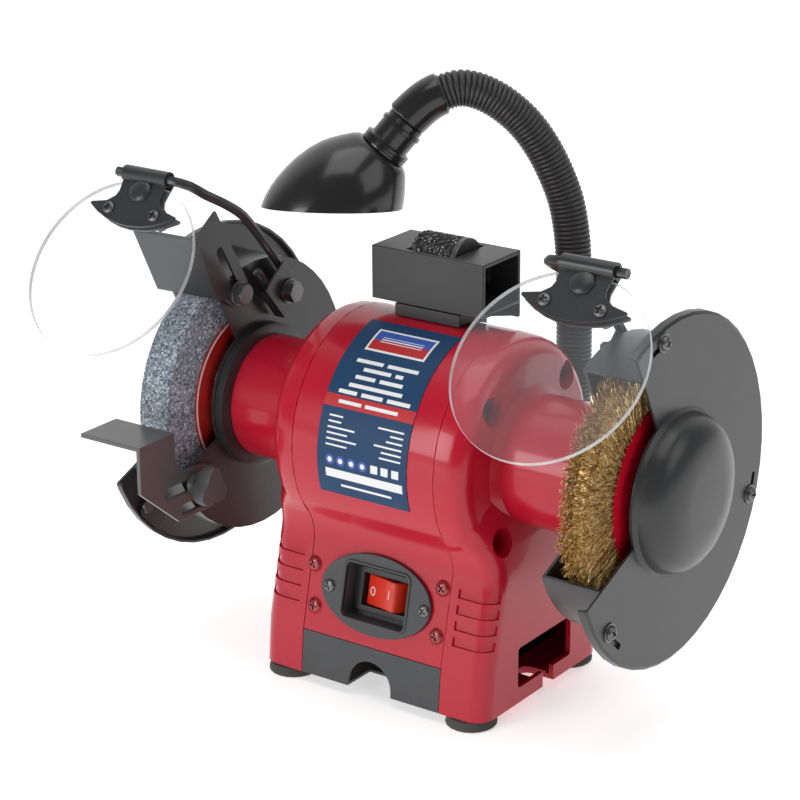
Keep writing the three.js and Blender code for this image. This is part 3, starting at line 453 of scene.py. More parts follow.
def turned_matrix(matrix, angle):
    return matrix @ Matrix.Rotation(angle, 4, "Z")


PANEL_SCREWS = [(-44.3, 8.3), (-40.9, -15.1), (41.9, 14.1), (41.6, -12.9)]
LIP = mesh_of("lip", *lathe([(3.9, 0), (4.9, 0), (4.8, 0.35), (4.4, 0.7), (4.0, 0.5), (3.9, 0)], 32))
for index, (x, up) in enumerate(PANEL_SCREWS):
    place(f"panel_screw_{index}", SCREW_M4.copy(), PANEL_SCREW, "housing",
          turned_matrix(panel_matrix(x, up, -0.4), 0.5 + index))
    place(f"panel_screw_lip_{index}", LIP.copy(), MATERIALS["red_paint"], "housing",
          panel_matrix(x, up, -0.05))
for index, (x, up) in enumerate([(-31.0, -1.0), (33.0, -0.5)]):
    place(f"bezel_screw_{index}", SCREW_SMALL.copy(), SCREW_STEEL, "housing",
          turned_matrix(panel_matrix(x, up, 2.1), 0.3 + 0.7 * index))


def rounded_rectangle(half_x, half_y, radius, steps=6):
    points = []
    for cx, cy, start in ((1, 1, 0), (-1, 1, 90), (-1, -1, 180), (1, -1, 270)):
        for i in range(steps + 1):
            angle = math.radians(start + 90 * i / steps)
            points.append((cx * (half_x - radius) + radius * math.cos(angle),
                           cy * (half_y - radius) + radius * math.sin(angle)))
    return points


def frame_ring(outer, inner, low, high):
    """Closed ring between two outlines of equal length."""
    count = len(outer)
    rings = ((outer, low), (outer, high), (inner, high), (inner, low))
    verts = [(x, y, z) for ring, z in rings for x, y in ring]
    faces = []
    for band in range(4):
        for i in range(count):
            j = (i + 1) % count
            a, b = band * count, (band + 1) % 4 * count
            faces.append([a + i, a + j, b + j, b + i])
    return verts, faces


# Raised step round the recess of the bezel.
STEP_RING = frame_ring(rounded_rectangle(22.6, 17.1, 4.4), rounded_rectangle(21.0, 15.5, 3.0), 0.3, 3.1)
place("bezel_step", mesh_of("bezel_step", *STEP_RING), MATERIALS["dark_plastic"], "housing",
      panel_matrix(0, 0), bevel=0.6, segments=3)

# Rocker: its left end is pressed in, its right end stands proud and ends in a slanted wall.
ROCKER = [(-13.3, -16), (-13.5, -10.4), (-12.6, -9.4), (-6.0, -8.0), (0.5, -6.4), (5.6, -4.5), (7.2, -4.0),
          (8.2, -4.5), (13.2, -12.6), (13.4, -16)]


def sideways(outline, half):
    """A prism along the panel's up direction, from an outline in X and out-of-machine."""
    verts, faces = prism(outline, -half, half)
    return [(x, z, y) for x, y, z in verts], faces


rocker = place("rocker_cap", mesh_of("rocker_cap", *sideways(ROCKER, 8.6)), MATERIALS["rocker_red"], "rocker",
               panel_matrix(0, 0), bevel=0.7, segments=3)
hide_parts("switch_rocker")


def rocker_height(x):
    for (x0, z0), (x1, z1) in zip(ROCKER[1:], ROCKER[2:]):
        if x0 <= x <= x1:
            return z0 + (z1 - z0) * (x - x0) / (x1 - x0)
    return ROCKER[-1][1]


MARK_LOW, MARK_HIGH, MARK_LIFT = -0.1, 0.12, 0.02


def rocker_mark(name, shape, x, up):
    """Puts an on or off mark on the rocker's slope."""
    slope = math.atan2(rocker_height(x + 1) - rocker_height(x - 1), 2)
    place(name, mesh_of(name, *shape), PRINT_WHITE, "rocker",
          panel_matrix(x, up, rocker_height(x) + MARK_LIFT) @ Matrix.Rotation(-slope, 4, "Y"))


def oval(half_x, half_y):
    return [(half_x * math.cos(a / 6), half_y * math.sin(a / 6)) for a in range(36)] + [(half_x, -0.001)]


BAR = [(-0.35, -2.6), (0.35, -2.6), (0.35, 2.6), (-0.35, 2.6)]
rocker_mark("rocker_mark_off", frame_ring(oval(1.9, 2.6), oval(1.25, 1.95), MARK_LOW, MARK_HIGH), -9.0, -0.5)
rocker_mark("rocker_mark_on", prism(BAR, MARK_LOW, MARK_HIGH), 4.0, 0.5)


# ------------------------------------------------------------------ rating plate, wrapped on the motor shell
SHELL_R = 66.0


def shell_point(x, angle, radius):
    """Angle in degrees up from the front, about the spindle axis."""
    a = math.radians(angle)
    return (x, -radius * math.cos(a), radius * math.sin(a))


def curved_patch(x0, x1, low, high, inner, outer, step=2.0):
    """A thin closed sheet bent round the spindle axis."""
    count = max(1, math.ceil(abs(high - low) / step))
    angles = [low + (high - low) * i / count for i in range(count + 1)]
    corners = ((x0, inner), (x1, inner), (x1, outer), (x0, outer))
    verts = [shell_point(x, a, r) for a in angles for x, r in corners]
    faces = [[3, 2, 1, 0], [4 * count + k for k in range(4)]]
    for i in range(count):
        for k in range(4):
            j = (k + 1) % 4
            faces.append([4 * i + k, 4 * i + j, 4 * i + 4 + j, 4 * i + 4 + k])
    return verts, faces


def curved_disc(x, angle, radius, inner, outer, sides=20):
    verts = []
    for r in (inner, outer):
        verts += [shell_point(x + across, angle + math.degrees(up / SHELL_R), r)
                  for across, up in regular(radius, sides)]
    faces = [[i, (i + 1) % sides, (i + 1) % sides + sides, i + sides] for i in range(sides)]
    return verts, faces + [list(range(sides))[::-1], list(range(sides, 2 * sides))]


def merged(parts):
    verts, faces = [], []
    for part_verts, part_faces in parts:
        start = len(verts)
        verts += part_verts
        faces += [[start + i for i in f] for f in part_faces]
    return verts, faces


def plate_piece(name, parts, material):
    verts, faces = merged(parts)
    return place(name, mesh_of(name, verts, faces), material, "housing", Matrix.Translation(AXIS))


PLATE_OUT = SHELL_R + 0.40
PRINT = (PLATE_OUT - 0.02, PLATE_OUT + 0.05)
PRINT_OVER = (PLATE_OUT - 0.02, PLATE_OUT + 0.10)
PLATE_X = (-29.2, 30.0)
EMBLEM_X = (-17.3, 19.4)
DOTS_X, DOTS_ANGLE = (-20.6, -13.5, -6.2, 1.2), 0.9
SMALL_LEFT_X, SMALL_RIGHT_X = -23.6, 26


def bars(rows, thickness):
    """Plain bars in place of lettering: rows of [angle, (x0, x1), ...], thickness in degrees."""
    return [curved_patch(x0, x1, angle - thickness / 2, angle + thickness / 2, *PRINT_OVER)
            for angle, *spans in rows for x0, x1 in spans]


plate_piece("rating_plate", [curved_patch(*PLATE_X, -17.0, 78.3, SHELL_R - 0.3, PLATE_OUT)], NAVY)
plate_piece("rating_plate_band", [curved_patch(*PLATE_X, 26.1, 32.0, *PRINT),
                                  curved_patch(*EMBLEM_X, 58.3, 64.4, *PRINT_OVER)], PLATE_RED)
plate_piece("rating_plate_blue",
            [curved_patch(*EMBLEM_X, 64.4, 70.6, *PRINT_OVER)]
            + [curved_disc(x, DOTS_ANGLE, 2.9, *PRINT) for x in DOTS_X], PLATE_BLUE)
TITLE_ROWS = [(50.6, (-19, -1.5), (1.5, 21.5)), (46.4, (-12, 6), (9, 14)), (42.1, (-15, -2), (1, 16)),
              (37.7, (-17, 18)), (33.9, (-22, -10), (-7, 7), (10, 25))]
SMALL_LEFT = [9, 8.5, 18, 13.5, 20, 14]
SMALL_RIGHT = [17, 8.5, 10.5, 18, 13, 14]
SMALL_ANGLES = [21.9 - 2.75 * i for i in range(6)]
plate_piece(
    "rating_plate_print",
    [curved_patch(-18.6, 20.7, 57.1, 71.8, *PRINT)]
    + bars([(65.0, (-12.5, 14.5))], 3.4)
    + bars(TITLE_ROWS, 1.9)
    + bars([(29.0, (-20, -5), (-2.5, 19))], 1.7)
    + bars([(a, (SMALL_LEFT_X, SMALL_LEFT_X + n)) for a, n in zip(SMALL_ANGLES, SMALL_LEFT)], 0.85)
    + bars([(a - 0.9, (SMALL_RIGHT_X - n, SMALL_RIGHT_X)) for a, n in zip(SMALL_ANGLES, SMALL_RIGHT)], 0.85)
    + [curved_disc(x, DOTS_ANGLE, 1.5, *PRINT_OVER) for x in DOTS_X]
    + [curved_patch(x, x + 4.6, -1.2, 2.8, *PRINT) for x in (6.6, 13.4, 20.4)]
    + [curved_patch(-23.6, 27.3, -7.9, -3.6, *PRINT)]
    + bars([(-11.4, (-14, 19.4))], 1.2), PRINT_WHITE)


# ------------------------------------------------------------------ guards: cover screws, nuts, arrestor bolt
def sided(side, x, y, z):
    return at(x * (1 if side == "right" else -1), y, z)


def outward(side):
    return Vector((1 if side == "right" else -1, 0, 0))


COVER_FACE = 156.8
COVER_SCREWS = [(-18, 87), (82, -28), (-66, -56)]
HEX_M5 = hex_head(5.2, 3.4)
HEX_M8 = hex_head(6.6, 5.0)
WASHER_M5 = washer(5.4, 2.4, 0.9)
for side in ("right", "left"):
    for index, (y, z) in enumerate(COVER_SCREWS):
        place(f"{side}_cover_washer_{index}", WASHER_M5.copy(), DARK_STEEL, "housing",
              facing(sided(side, COVER_FACE, y, z), outward(side)))
        place(f"{side}_cover_screw_{index}", SCREW_M4.copy(), DARK_STEEL, "housing",
              facing(sided(side, COVER_FACE + 0.8, y, z), outward(side), 0.4 + index))
        place(f"{side}_cover_nut_{index}", HEX_M5.copy(), DARK_STEEL, "housing",
              facing(sided(side, COVER_FACE - 1.5, y, z), -outward(side), 0.2 * index))

# Ears on the guards' bands that the cover screws are tapped into.
EAR_ANGLES = (105.5, -14.9, 225.7)           # middles of the cover's slots, in degrees from the rear
EAR_LOW, EAR_HIGH, EAR_HALF, EAR_CORNER = 80.3, 94.0, 12.0, 5.0
EAR_BACK, EAR_FACE = 153.0, 154.9
EAR_SHOULDER = EAR_HIGH - EAR_CORNER
EAR_OUTLINE = [(EAR_LOW, -EAR_HALF), (EAR_SHOULDER, -EAR_HALF)]
EAR_OUTLINE += [(EAR_SHOULDER + EAR_CORNER * math.cos(a),
                 end * (EAR_HALF - EAR_CORNER) + EAR_CORNER * math.sin(a))
                for end, angles in ((-1, (-1.2, -0.8, -0.4, 0.0)), (1, (0.0, 0.4, 0.8, 1.2)))
                for a in angles]
EAR_OUTLINE += [(EAR_SHOULDER, EAR_HALF), (EAR_LOW, EAR_HALF)]
for side in ("right", "left"):
    sign = 1 if side == "right" else -1
    for index, angle in enumerate(EAR_ANGLES):
        c, s = math.cos(math.radians(angle)), math.sin(math.radians(angle))
        flat, faces = prism(EAR_OUTLINE, EAR_BACK, EAR_FACE)
        verts = [(sign * x, u * c - v * s, u * s + v * c) for u, v, x in flat]
        place(f"{side}_guard_ear_{index}", mesh_of(f"{side}_guard_ear_{index}", verts, faces),
              MATERIALS["black_paint"], "housing", Matrix.Translation(AXIS), bevel=0.3)

ARRESTOR_BOLT = at(0, -20, 66)
arrestor_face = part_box("spark_arrestor")[1].x
place("arrestor_washer", washer(7.4, 3.2, 1.2), DARK_STEEL, "housing",
      facing((arrestor_face, ARRESTOR_BOLT.y, ARRESTOR_BOLT.z), outward("right")))
place("arrestor_bolt", HEX_M8.copy(), DARK_STEEL, "housing",
      facing((arrestor_face + 1.1 * MM, ARRESTOR_BOLT.y, ARRESTOR_BOLT.z), outward("right"), 0.35))

# Heads of the four long motor bolts, deep in the bores of each end bell.
BELL_HEAD = hex_head(6.6, 4.6)
MOTOR_BOLT = 36.5
for side in ("right", "left"):
    for index, (y, z) in enumerate([(-1, -1), (1, -1), (1, 1), (-1, 1)]):
        place(f"{side}_motor_bolt_{index}", BELL_HEAD.copy(), DARK_STEEL, "housing",
              facing(sided(side, 55.2, y * MOTOR_BOLT, z * MOTOR_BOLT), outward(side), 0.3 * index))


# ------------------------------------------------------------------ grooves in the front corners of the legs
LEG_X = 76.0
LEG_CORNER_R = 11.0
WAIST_Y = 46.5
WAIST_Z = -56.0
GROOVE_INNER_X = 52.0
GROOVE_DEPTH = 1.4
GROOVE_HEIGHT = 5.0
GROOVE_PITCH = 8.7
GROOVE_TOP = -64.2


def leg_path(z, grow):
    """Points round a leg's front corner at one height, moved out by grow."""
    depth = WAIST_Y + (WAIST_Z - z) * math.tan(SLOPE)
    cx, cy, radius = LEG_X - LEG_CORNER_R, -(depth - LEG_CORNER_R), LEG_CORNER_R + grow
    points = [(GROOVE_INNER_X, cy - radius), (58.0, cy - radius)]
    return points + [(cx + radius * math.cos(math.radians(a)), cy + radius * math.sin(math.radians(a)))
                     for a in range(-90, -19, 10)]


def groove(side, top):
    """The space that one groove takes out of a leg."""
    bottom = top - GROOVE_HEIGHT
    sign = 1 if side == "right" else -1
    rings = [[(sign * x, y, z) for x, y in leg_path(z, grow)]
             for z, grow in ((top, -GROOVE_DEPTH), (top, 3.0), (bottom, 3.0), (bottom, -GROOVE_DEPTH))]
    count = len(rings[0])
    verts = [v for ring in rings for v in ring]
    faces = [[0, count, 2 * count, 3 * count], [4 * count - 1, 3 * count - 1, 2 * count - 1, count - 1]]
    for i in range(count - 1):
        for k in range(4):
            j = (k + 1) % 4
            faces.append([k * count + i, j * count + i, j * count + i + 1, k * count + i + 1])
    return verts, faces


for side in ("right", "left"):
    node = nodes[f"{side}_end_housing"]
    verts, faces = merged([groove(side, GROOVE_TOP - GROOVE_PITCH * i) for i in range(4)])
    cutter = add_object(f"{side}_grooves", mesh_of(f"{side}_grooves", verts, faces))
    cutter.matrix_world = Matrix.Translation(AXIS)
    cutter.hide_render = True
    cutter.hide_viewport = True
    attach(cutter, "housing")
    step = node.modifiers.new("grooves", "BOOLEAN")
    step.operation = "DIFFERENCE"
    step.object = cutter
    step.solver = "EXACT"
    node.modifiers.move(len(node.modifiers) - 1, 1)


# ------------------------------------------------------------------ wheels
def turned_about_x(profile, segments=96):
    """A lathe mesh about the spindle from [x, radius] pairs."""
    verts, faces = lathe([(r, x) for x, r in profile], segments)
    return [(z, x, y) for x, y, z in verts], faces


WHEEL_FACE = 129.0
WHEEL_T = 20.0
WHEEL_R = 75.0
wheel = place(
    "abrasive_wheel",
    mesh_of("abrasive_wheel", *turned_about_x([
        (-WHEEL_FACE, 6.8), (-WHEEL_FACE, 50.0), (-WHEEL_FACE, WHEEL_R - 1.0), (-WHEEL_FACE - 1.0, WHEEL_R),
        (-WHEEL_FACE - WHEEL_T + 1.0, WHEEL_R), (-WHEEL_FACE - WHEEL_T, WHEEL_R - 1.0),
        (-WHEEL_FACE - WHEEL_T, 6.8), (-WHEEL_FACE, 6.8)], 144)),
    MATERIALS["grit"], "spindle", Matrix.Translation(AXIS), angle=30)
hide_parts("grinding_wheel")
place("blotter_ring", mesh_of("blotter_ring", *turned_about_x([
    (-WHEEL_FACE + 0.05, 48.2), (-WHEEL_FACE + 1.02, 48.2), (-WHEEL_FACE + 1.02, 49.4),
    (-WHEEL_FACE + 0.05, 49.4), (-WHEEL_FACE + 0.05, 48.2)])),
    PRINT_WHITE, "spindle", Matrix.Translation(AXIS), angle=30)


FULL_TURN, THIRD_TURN = 6.28, 2.094


def bristle_mesh(seed, count, root_r, tip_r):
    """Crimped wires standing out from the hub, leaning at random, each a thin three-sided rod."""
    draw = random.Random(seed)
    middle_x = WHEEL_FACE + WHEEL_T / 2
    verts, faces = [], []
    steps = 6
    for _ in range(count):
        angle = draw.uniform(0, 2 * math.pi)
        root_x = draw.uniform(-8.6, 8.6)
        tip_x = max(-10.6, min(10.6, root_x * 1.12 + draw.gauss(0, 1.1)))
        lean = draw.gauss(0, 0.085)
        length = tip_r + draw.gauss(0, 0.9) - abs(root_x / 10) ** 3 * 2.2
        phase, wave = draw.uniform(0, FULL_TURN), draw.uniform(0.35, 0.7)
        side = draw.uniform(0, FULL_TURN)
        width = draw.uniform(0.22, 0.32)
        for s in range(steps + 1):
            t = s / steps
            radius = root_r + (length - root_r) * t
            wobble = wave * math.sin(phase + radius * 1.35)
            a = angle + lean * t + wobble * math.cos(side) / radius
            x = middle_x + root_x + (tip_x - root_x) * t + wobble * math.sin(side)
            for k in range(3):
                turn = side + k * THIRD_TURN
                verts.append((x + width * math.cos(turn),
                              radius * math.cos(a) - width * math.sin(turn) * math.sin(a),
                              radius * math.sin(a) + width * math.sin(turn) * math.cos(a)))
        base = len(verts) - 3 * (steps + 1)
        for s in range(steps):
            for k in range(3):
                i, j = base + 3 * s + k, base + 3 * s + (k + 1) % 3
                faces.append([i, j, j + 3, i + 3])
        faces.append([base + 2, base + 1, base])
        faces.append([base + 3 * steps + k for k in range(3)])
    mesh = bpy.data.meshes.new("bristles")
    mesh.from_pydata([tuple(c * MM for c in v) for v in verts], [], faces)
    return mesh


bristles = place("brass_bristles", bristle_mesh(7, 5200, 44.0, 75.4), BRISTLES, "spindle",
                 Matrix.Translation(AXIS), angle=80)
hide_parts("wire_wheel")
core_x = WHEEL_FACE + WHEEL_T / 2
place("bristle_core", mesh_of("bristle_core", *turned_about_x([
    (core_x - 7, 22), (core_x - 7.2, 50), (core_x - 6.2, 66), (core_x - 3, 69.5), (core_x + 3, 69.5),
    (core_x + 6.2, 66), (core_x + 7.2, 50), (core_x + 7, 22), (core_x - 7, 22)])),
    BRISTLES, "spindle", Matrix.Translation(AXIS))


# ------------------------------------------------------------------ eye shields
CLAMP_BOLT = (0.0, 16.2, 59.6)
PIVOT = (-66.0, 140.5)
PIVOT_OUT, PIVOT_UP = 2.5, 55.0
SHIELD_X = 143.0
SETTINGS = {"right": (math.radians(2), math.radians(46)), "left": (0.0, math.radians(40))}


def shield_matrix(side):
    """Frame at the middle of an eye shield: X along the spindle, Y to the rear, Z up the pane."""
    swing, tilt = SETTINGS[side]
    sign = 1 if side == "right" else -1
    tilted = Matrix.Rotation(-tilt, 4, "X")
    hang = Vector((sign * SHIELD_X, PIVOT[0] - CLAMP_BOLT[1], PIVOT[1] - CLAMP_BOLT[2]))
    hang -= tilted @ Vector((0, -PIVOT_OUT, PIVOT_UP))
    local = Matrix.Rotation(swing, 4, "X") @ Matrix.Translation(hang * MM) @ tilted
    return Matrix.Translation(at(*CLAMP_BOLT)) @ local


def on_shield(side, x, y, z, forward=True):
    """A piece drawn along +Z, standing on the shield's front (or rear) face."""
    turn = Matrix.Rotation(math.radians(90 if forward else -90), 4, "X")
    return shield_matrix(side) @ Matrix.Translation(Vector((x, y, z)) * MM) @ turn


PANE_R, PANE_HALF, PANE_FLAT = 52.6, 1.5, 49.8
RIVET = dome(7.0, 2.6)
for side in ("right", "left"):
    visor = f"{side}_visor"
    verts, faces = prism([(x, min(z, PANE_FLAT)) for x, z in regular(PANE_R, 128)], -PANE_HALF, PANE_HALF)
    pane = mesh_of(f"{side}_pane", [(x, -z, y) for x, y, z in verts], faces)
    pane.materials.append(MATERIALS["clear_plastic"])
    pane.materials.append(PANE_EDGE)
    for face in pane.polygons:
        face.material_index = 0 if len(face.vertices) > 4 else 1
    o = place(f"{side}_pane", pane, MATERIALS["clear_plastic"], visor, shield_matrix(side),
              bevel=0.35, segments=2)
    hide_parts(f"{side}_eye_shield")
    place(f"{side}_clip_rivet", RIVET.copy(), MATERIALS["black_paint"], visor,
          on_shield(side, 0, -3.15, 45.8))
    place(f"{side}_clip_rivet_rear", dome(5.0, 1.6), DARK_STEEL, visor,
          on_shield(side, 0, 3.15, 45.8, False))
    for index, x in enumerate((-16.0, 16.0)):
        place(f"{side}_clip_screw_{index}", SCREW_SMALL.copy(), SCREW_STEEL, visor,
              turned_matrix(on_shield(side, x, -3.15, 32.6), 0.4 + index))
        place(f"{side}_clip_nut_{index}", HEX_M5.copy(), DARK_STEEL, visor,
              turned_matrix(on_shield(side, x, 3.15, 32.6, False), 0.3 * index))


# ------------------------------------------------------------------ gooseneck, sleeve and shade
LAMP_X, LAMP_Y = 45.2, 77.0
LAMP_TURN = math.radians(40)
HEAD_TILT = math.radians(49.8)
RIB_PITCH = 2.65
RIB_R, GROOVE_R = 10.2, 9.0


def lamp_point(out, z):
    return Vector((LAMP_X - out * math.cos(LAMP_TURN), LAMP_Y - out * math.sin(LAMP_TURN), z))


ROUTE = [lamp_point(*p) for p in [
    (0, -74), (0, -40), (0, -10), (0, 20), (0, 45), (0.2, 65), (1, 88), (2.5, 106), (6, 124), (12, 140),
    (20, 155.5), (30, 169), (42, 179.6), (54, 186.2), (65, 188.4), (76, 185.4), (84, 181), (92, 174),
    (96, 169.6)]]


def spline(points, per_span=24):
    """Catmull-Rom curve through the points."""
    path = []
    ends = [points[0] * 2 - points[1]] + list(points) + [points[-1] * 2 - points[-2]]
    for p0, p1, p2, p3 in zip(ends, ends[1:], ends[2:], ends[3:]):
        for i in range(per_span):
            t = i / per_span
            path.append(0.5 * (2 * p1 + (p2 - p0) * t + (2 * p0 - 5 * p1 + 4 * p2 - p3) * t * t
                               + (3 * p1 - p0 - 3 * p2 + p3) * t ** 3))
    return path + [points[-1]]


def resampled(path, step):
    total, marks = 0.0, [0.0]
    for a, b in zip(path, path[1:]):
        total += (b - a).length
        marks.append(total)
    points, k = [], 0
    for n in range(int(total / step) + 1):
        s = n * step
        while marks[k + 1] < s:
            k += 1
        t = (s - marks[k]) / (marks[k + 1] - marks[k])
        points.append(path[k].lerp(path[k + 1], t))
    return points


def swept(points, radii, sides=32):
    """A tube with its own radius at each point, its ends closed."""
    plane_normal = Vector((math.sin(LAMP_TURN), -math.cos(LAMP_TURN), 0))
    verts, faces = [], []
    for i, point in enumerate(points):
        along = (points[min(i + 1, len(points) - 1)] - points[max(i - 1, 0)]).normalized()
        across = plane_normal.cross(along).normalized()
        for k in range(sides):
            a = 2 * math.pi * k / sides
            verts.append(point + (plane_normal * math.cos(a) + across * math.sin(a)) * radii[i])
    for i in range(len(points) - 1):
        for k in range(sides):
            j = (k + 1) % sides
            faces.append([i * sides + k, i * sides + j, (i + 1) * sides + j, (i + 1) * sides + k])
    faces.append(list(range(sides))[::-1])
    faces.append([(len(points) - 1) * sides + k for k in range(sides)])
    return verts, faces


STEPS_PER_RIB = 8
neck_points = resampled(spline(ROUTE), RIB_PITCH / STEPS_PER_RIB)
neck_radii = [GROOVE_R + (RIB_R - GROOVE_R) * abs(math.sin(math.pi * i / STEPS_PER_RIB)) ** 0.55
              for i in range(len(neck_points))]


def bending(name, verts, faces, material, angle, bodies, start, end):
    """A length of tube, smooth shaded and set in the row frame; bodies, start and end are not used."""
    mesh = mesh_of(name, verts, faces)
    mesh.materials.append(material)
    smooth_mesh(mesh, angle)
    o = add_object(name, mesh)
    o.matrix_world = Matrix.Translation(AXIS)
    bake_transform(o)
    return o


def neck_piece(name, first, last, bodies, start, end, node):
    """One length of the ribbed neck, cut at groove bottoms."""
    first, last = (round(i / STEPS_PER_RIB) * STEPS_PER_RIB for i in (first, last))
    verts, faces = swept(neck_points[first:last + 1], neck_radii[first:last + 1])
    o = bending(name, verts, faces, MATERIALS["black_plastic"], 60, bodies, start, end)
    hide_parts(node)


def nearest(out, z):
    target = lamp_point(out, z)
    return min(range(len(neck_points)), key=lambda i: (neck_points[i] - target).length)


foot_start, low_split, side_split = nearest(0, -62), nearest(0.1, 52), nearest(9, 132)
HEAD_JOINT = (("gooseneck_high", "lamp_head"), (64, 193), (87, 178.5))
neck_piece("neck_ribs_low", foot_start, low_split, ("housing", "gooseneck_low"),
           (0, 2), (0, 38), "neck_lower")
neck_piece("neck_ribs_middle", low_split, side_split, ("gooseneck_low", "gooseneck_high"),
           (0.6, 72), (2.4, 104), "neck_middle")
neck_piece("neck_ribs_high", side_split, len(neck_points) - 1, *HEAD_JOINT, "neck_upper")

# Smooth ferrule over the neck's last ribs.
FERRULE_R = 11.8
FERRULE_STEPS = 74
FERRULE_CHAMFER = 3
ferrule_end = nearest(93.4, 171.2)
ferrule_points = neck_points[ferrule_end - FERRULE_STEPS:ferrule_end + 1]
ferrule_radii = [FERRULE_R - 0.3 * max(0, FERRULE_CHAMFER - min(i, FERRULE_STEPS - i))
                 for i in range(len(ferrule_points))]
bending("neck_ferrule", *swept(ferrule_points, ferrule_radii, 48), MATERIALS["gloss_black"], 40, *HEAD_JOINT)

HEAD_OUT, HEAD_Z = 107.5, 154.6
HEAD = lamp_point(HEAD_OUT, HEAD_Z)
HEAD_AXIS = (lamp_point(HEAD_OUT + math.cos(HEAD_TILT), HEAD_Z - math.sin(HEAD_TILT)) - HEAD).normalized()
HEAD_MATRIX = facing(at(*HEAD), HEAD_AXIS)
sleeve = place("lamp_collar", mesh_of("lamp_collar", *lathe([
    (9.9, -21.0), (10.9, -21.0), (10.9, -17.9), (12.1, -17.6), (12.3, -15.4), (11.5, -14.9), (11.5, -6.4),
    (12.6, -5.9), (13.9, -5.4), (14.0, -4.4), (13.4, -4.1), (13.4, -3.6), (14.0, -3.3), (14.0, -2.6),
    (13.4, -2.3), (13.4, -1.8), (14.0, -1.5), (13.9, -0.6), (13.3, -0.35), (0, -0.35), (0, -3.0),
    (9.4, -6.0), (9.9, -21.0)], 64)),
    MATERIALS["gloss_black"], "lamp_head", HEAD_MATRIX)
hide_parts("lamp_sleeve")

SHADE_PROFILE = [(14.2, 0), (16.6, 1.0), (18.9, 3.0), (23.2, 8.4), (26.3, 12.8), (29.0, 17.3),
                 (31.9, 24.6), (34.0, 33.0), (34.9, 40.5), (35.2, 48.0), (34.9, 54.0), (34.0, 60.0),
                 (32.2, 66.0), (29.5, 72.0)]
SHADE_WALL = 1.6
MOUTH_RISE = (0.037, 0.173)
outer = [(0, 0)] + SHADE_PROFILE + [(27.9, 72.0)]
inner = [(r - SHADE_WALL, z + 0.5) for r, z in SHADE_PROFILE[:0:-1]] + [(12.6, SHADE_WALL), (0, SHADE_WALL)]
shade_solid = mesh_of("shade_solid", *lathe(outer + inner, 96))
along = Vector((-math.cos(LAMP_TURN), -math.sin(LAMP_TURN), MOUTH_RISE[0])).normalized()
across = Vector((math.sin(LAMP_TURN), -math.cos(LAMP_TURN), MOUTH_RISE[1])).normalized()
mouth_up = along.cross(across)
if mouth_up.z < 0:
    mouth_up.negate()
mouth_matrix = facing(at(*lamp_point(138, 123.3)), -mouth_up)
shade_solid.transform(HEAD_MATRIX)
below = mesh_of("below", *prism(regular(150, 8), 0, 120))
below.transform(mouth_matrix)
shade = place("shade_shell", apply_boolean(shade_solid, below), MATERIALS["gloss_black"], "lamp_head",
              bevel=0.3, angle=42)
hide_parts("lamp_shade")


# ------------------------------------------------------------------ the dresser's cutters
CUTTER_TEETH = 22
CUTTER_DISCS = 8                             # the last one, on the right, is plain
CUTTER_CORE_R = 8.5
TOOTH_TIP, TOOTH_ROOT = 0.05, 0.75           # depths below the cutters' full radius
cutter_low, cutter_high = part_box("dresser_cutters")
cutter_middle = (cutter_low + cutter_high) / 2
cutter_length = (cutter_high.x - cutter_low.x) / MM
cutter_radius = (cutter_high.z - cutter_low.z) / 2 / MM
disc_pitch = cutter_length / CUTTER_DISCS
zigzag = [cutter_radius - (TOOTH_ROOT if i % 2 else TOOTH_TIP) for i in range(2 * CUTTER_TEETH)]
cutter_matrix = facing(cutter_middle, (1, 0, 0))
disc_parts = []
for n in range(CUTTER_DISCS - 1):
    turn = (n % 2) * math.pi / CUTTER_TEETH
    angles = [math.pi * i / CUTTER_TEETH + turn for i in range(2 * CUTTER_TEETH)]
    edge = [(r * math.cos(a), r * math.sin(a)) for r, a in zip(zigzag, angles)]
    start = -cutter_length / 2 + n * disc_pitch
    disc_parts.append(prism(edge, start + 0.15, start + disc_pitch - 0.35))
end_start = cutter_length / 2 - disc_pitch
disc_parts.append(lathe([(0, -cutter_length / 2), (CUTTER_CORE_R, -cutter_length / 2),
                         (CUTTER_CORE_R, end_start), (0, end_start)], 32))
discs = place("cutter_discs", mesh_of("cutter_discs", *merged(disc_parts)), CUTTER_STEEL, "cutters",
              cutter_matrix, angle=25)
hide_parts("dresser_cutters")
end_disc = mesh_of("cutter_end_disc", *lathe([
    (0, end_start + 0.1), (cutter_radius - 0.6, end_start + 0.1), (cutter_radius - 0.1, end_start + 0.6),
    (cutter_radius - 0.1, cutter_length / 2 - 0.5), (cutter_radius - 0.6, cutter_length / 2),
    (0, cutter_length / 2)], 64))
place("cutter_end_disc", end_disc, DARK_STEEL, "cutters", cutter_matrix, angle=25)


# ------------------------------------------------------------------ floor, light and camera
def flat_material(name, colour, rough, glow):
    material, tree, shader = new_material(name)
    shader.inputs["Emission Color"].default_value = (1, 1, 1, 1)
    shader.inputs["Emission Strength"].default_value = glow
    tone = ramp(tree, noise(tree, 2.0), [(0.3, scaled(colour, 0.99)), (0.7, colour)])
    tree.links.new(tone, shader.inputs["Base Color"])
    shader.inputs["Roughness"].default_value = rough
    return material


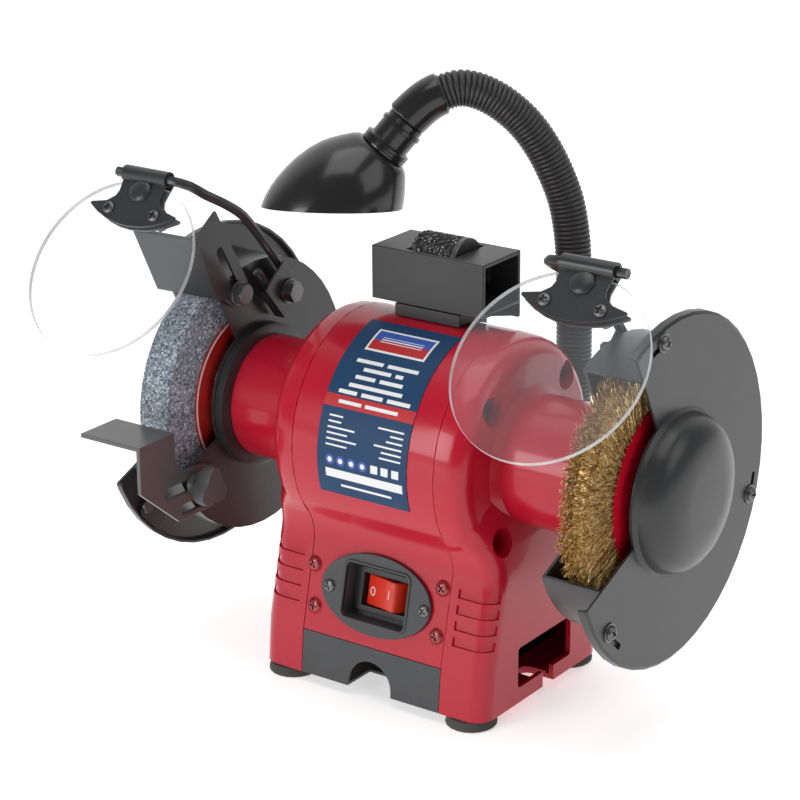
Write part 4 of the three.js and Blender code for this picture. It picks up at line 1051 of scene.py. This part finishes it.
FLOOR_HALF = 9000
FLOOR_CORNERS = [(-FLOOR_HALF, -FLOOR_HALF, 0), (FLOOR_HALF, -FLOOR_HALF, 0),
                 (FLOOR_HALF, FLOOR_HALF, 0), (-FLOOR_HALF, FLOOR_HALF, 0)]
floor_mesh = mesh_of("floor", FLOOR_CORNERS, [[0, 1, 2, 3]])
floor = add_object("floor", floor_mesh)
floor_mesh.materials.append(flat_material("pale_floor", (0.93, 0.93, 0.93), 0.7, 0.55))

world = bpy.data.worlds.new("studio")
bpy.context.scene.world = world
world.use_nodes = True
sky = world.node_tree
sky_coords = sky.nodes.new("ShaderNodeTexCoord")
sky_side = sky.nodes.new("ShaderNodeVectorMath")
sky_side.operation = "DOT_PRODUCT"
sky_side.inputs[1].default_value = (-0.49, 0.69, 0.53)   # bright behind and above, dim towards the viewer
sky.links.new(sky_coords.outputs["Generated"], sky_side.inputs[0])
SKY_STOPS = [(0.0, (0.14,) * 3), (0.45, (0.24,) * 3), (0.7, (0.8,) * 3), (1.0, (1.0,) * 3)]
sky.links.new(ramp(sky, sky_side.outputs["Value"], SKY_STOPS), sky.nodes["Background"].inputs["Color"])

TARGET = Vector((-0.0209, 0.023, 0.1563))


def aimed(o, azimuth, elevation, distance, roll=0.0):
    """Stands a light or camera round the machine, in degrees, and turns it to the target."""
    az, el = math.radians(azimuth), math.radians(elevation)
    away = Vector((math.sin(az) * math.cos(el), -math.cos(az) * math.cos(el), math.sin(el)))
    o.location = TARGET + distance * away
    o.rotation_mode = "QUATERNION"
    look = (TARGET - o.location).to_track_quat("-Z", "Y")
    o.rotation_quaternion = look @ Quaternion((0, 0, 1), math.radians(roll))


def area_light(name, azimuth, elevation, distance, size, power):
    """A soft box aimed at the machine; azimuth 0 is in front of it, positive to its right."""
    light = bpy.data.lights.new(name, "AREA")
    light.shape = "SQUARE"
    light.size = size
    light.energy = power
    aimed(add_object(name, light), azimuth, elevation, distance)


area_light("key", -20, 14, 1.9, 0.8, 12)
area_light("side", 95, 35, 2.0, 1.2, 6)
area_light("top", 20, 82, 1.8, 1.4, 11)

camera_data = bpy.data.cameras.new("camera")
camera_data.sensor_width = 36.0
camera_data.lens = 116.9
camera_data.clip_end = 50
camera = add_object("camera", camera_data)
aimed(camera, 35.54, 19.61, 1.4535, roll=-0.4)
bpy.context.scene.camera = camera
bpy.context.scene.view_settings.view_transform = "Standard"
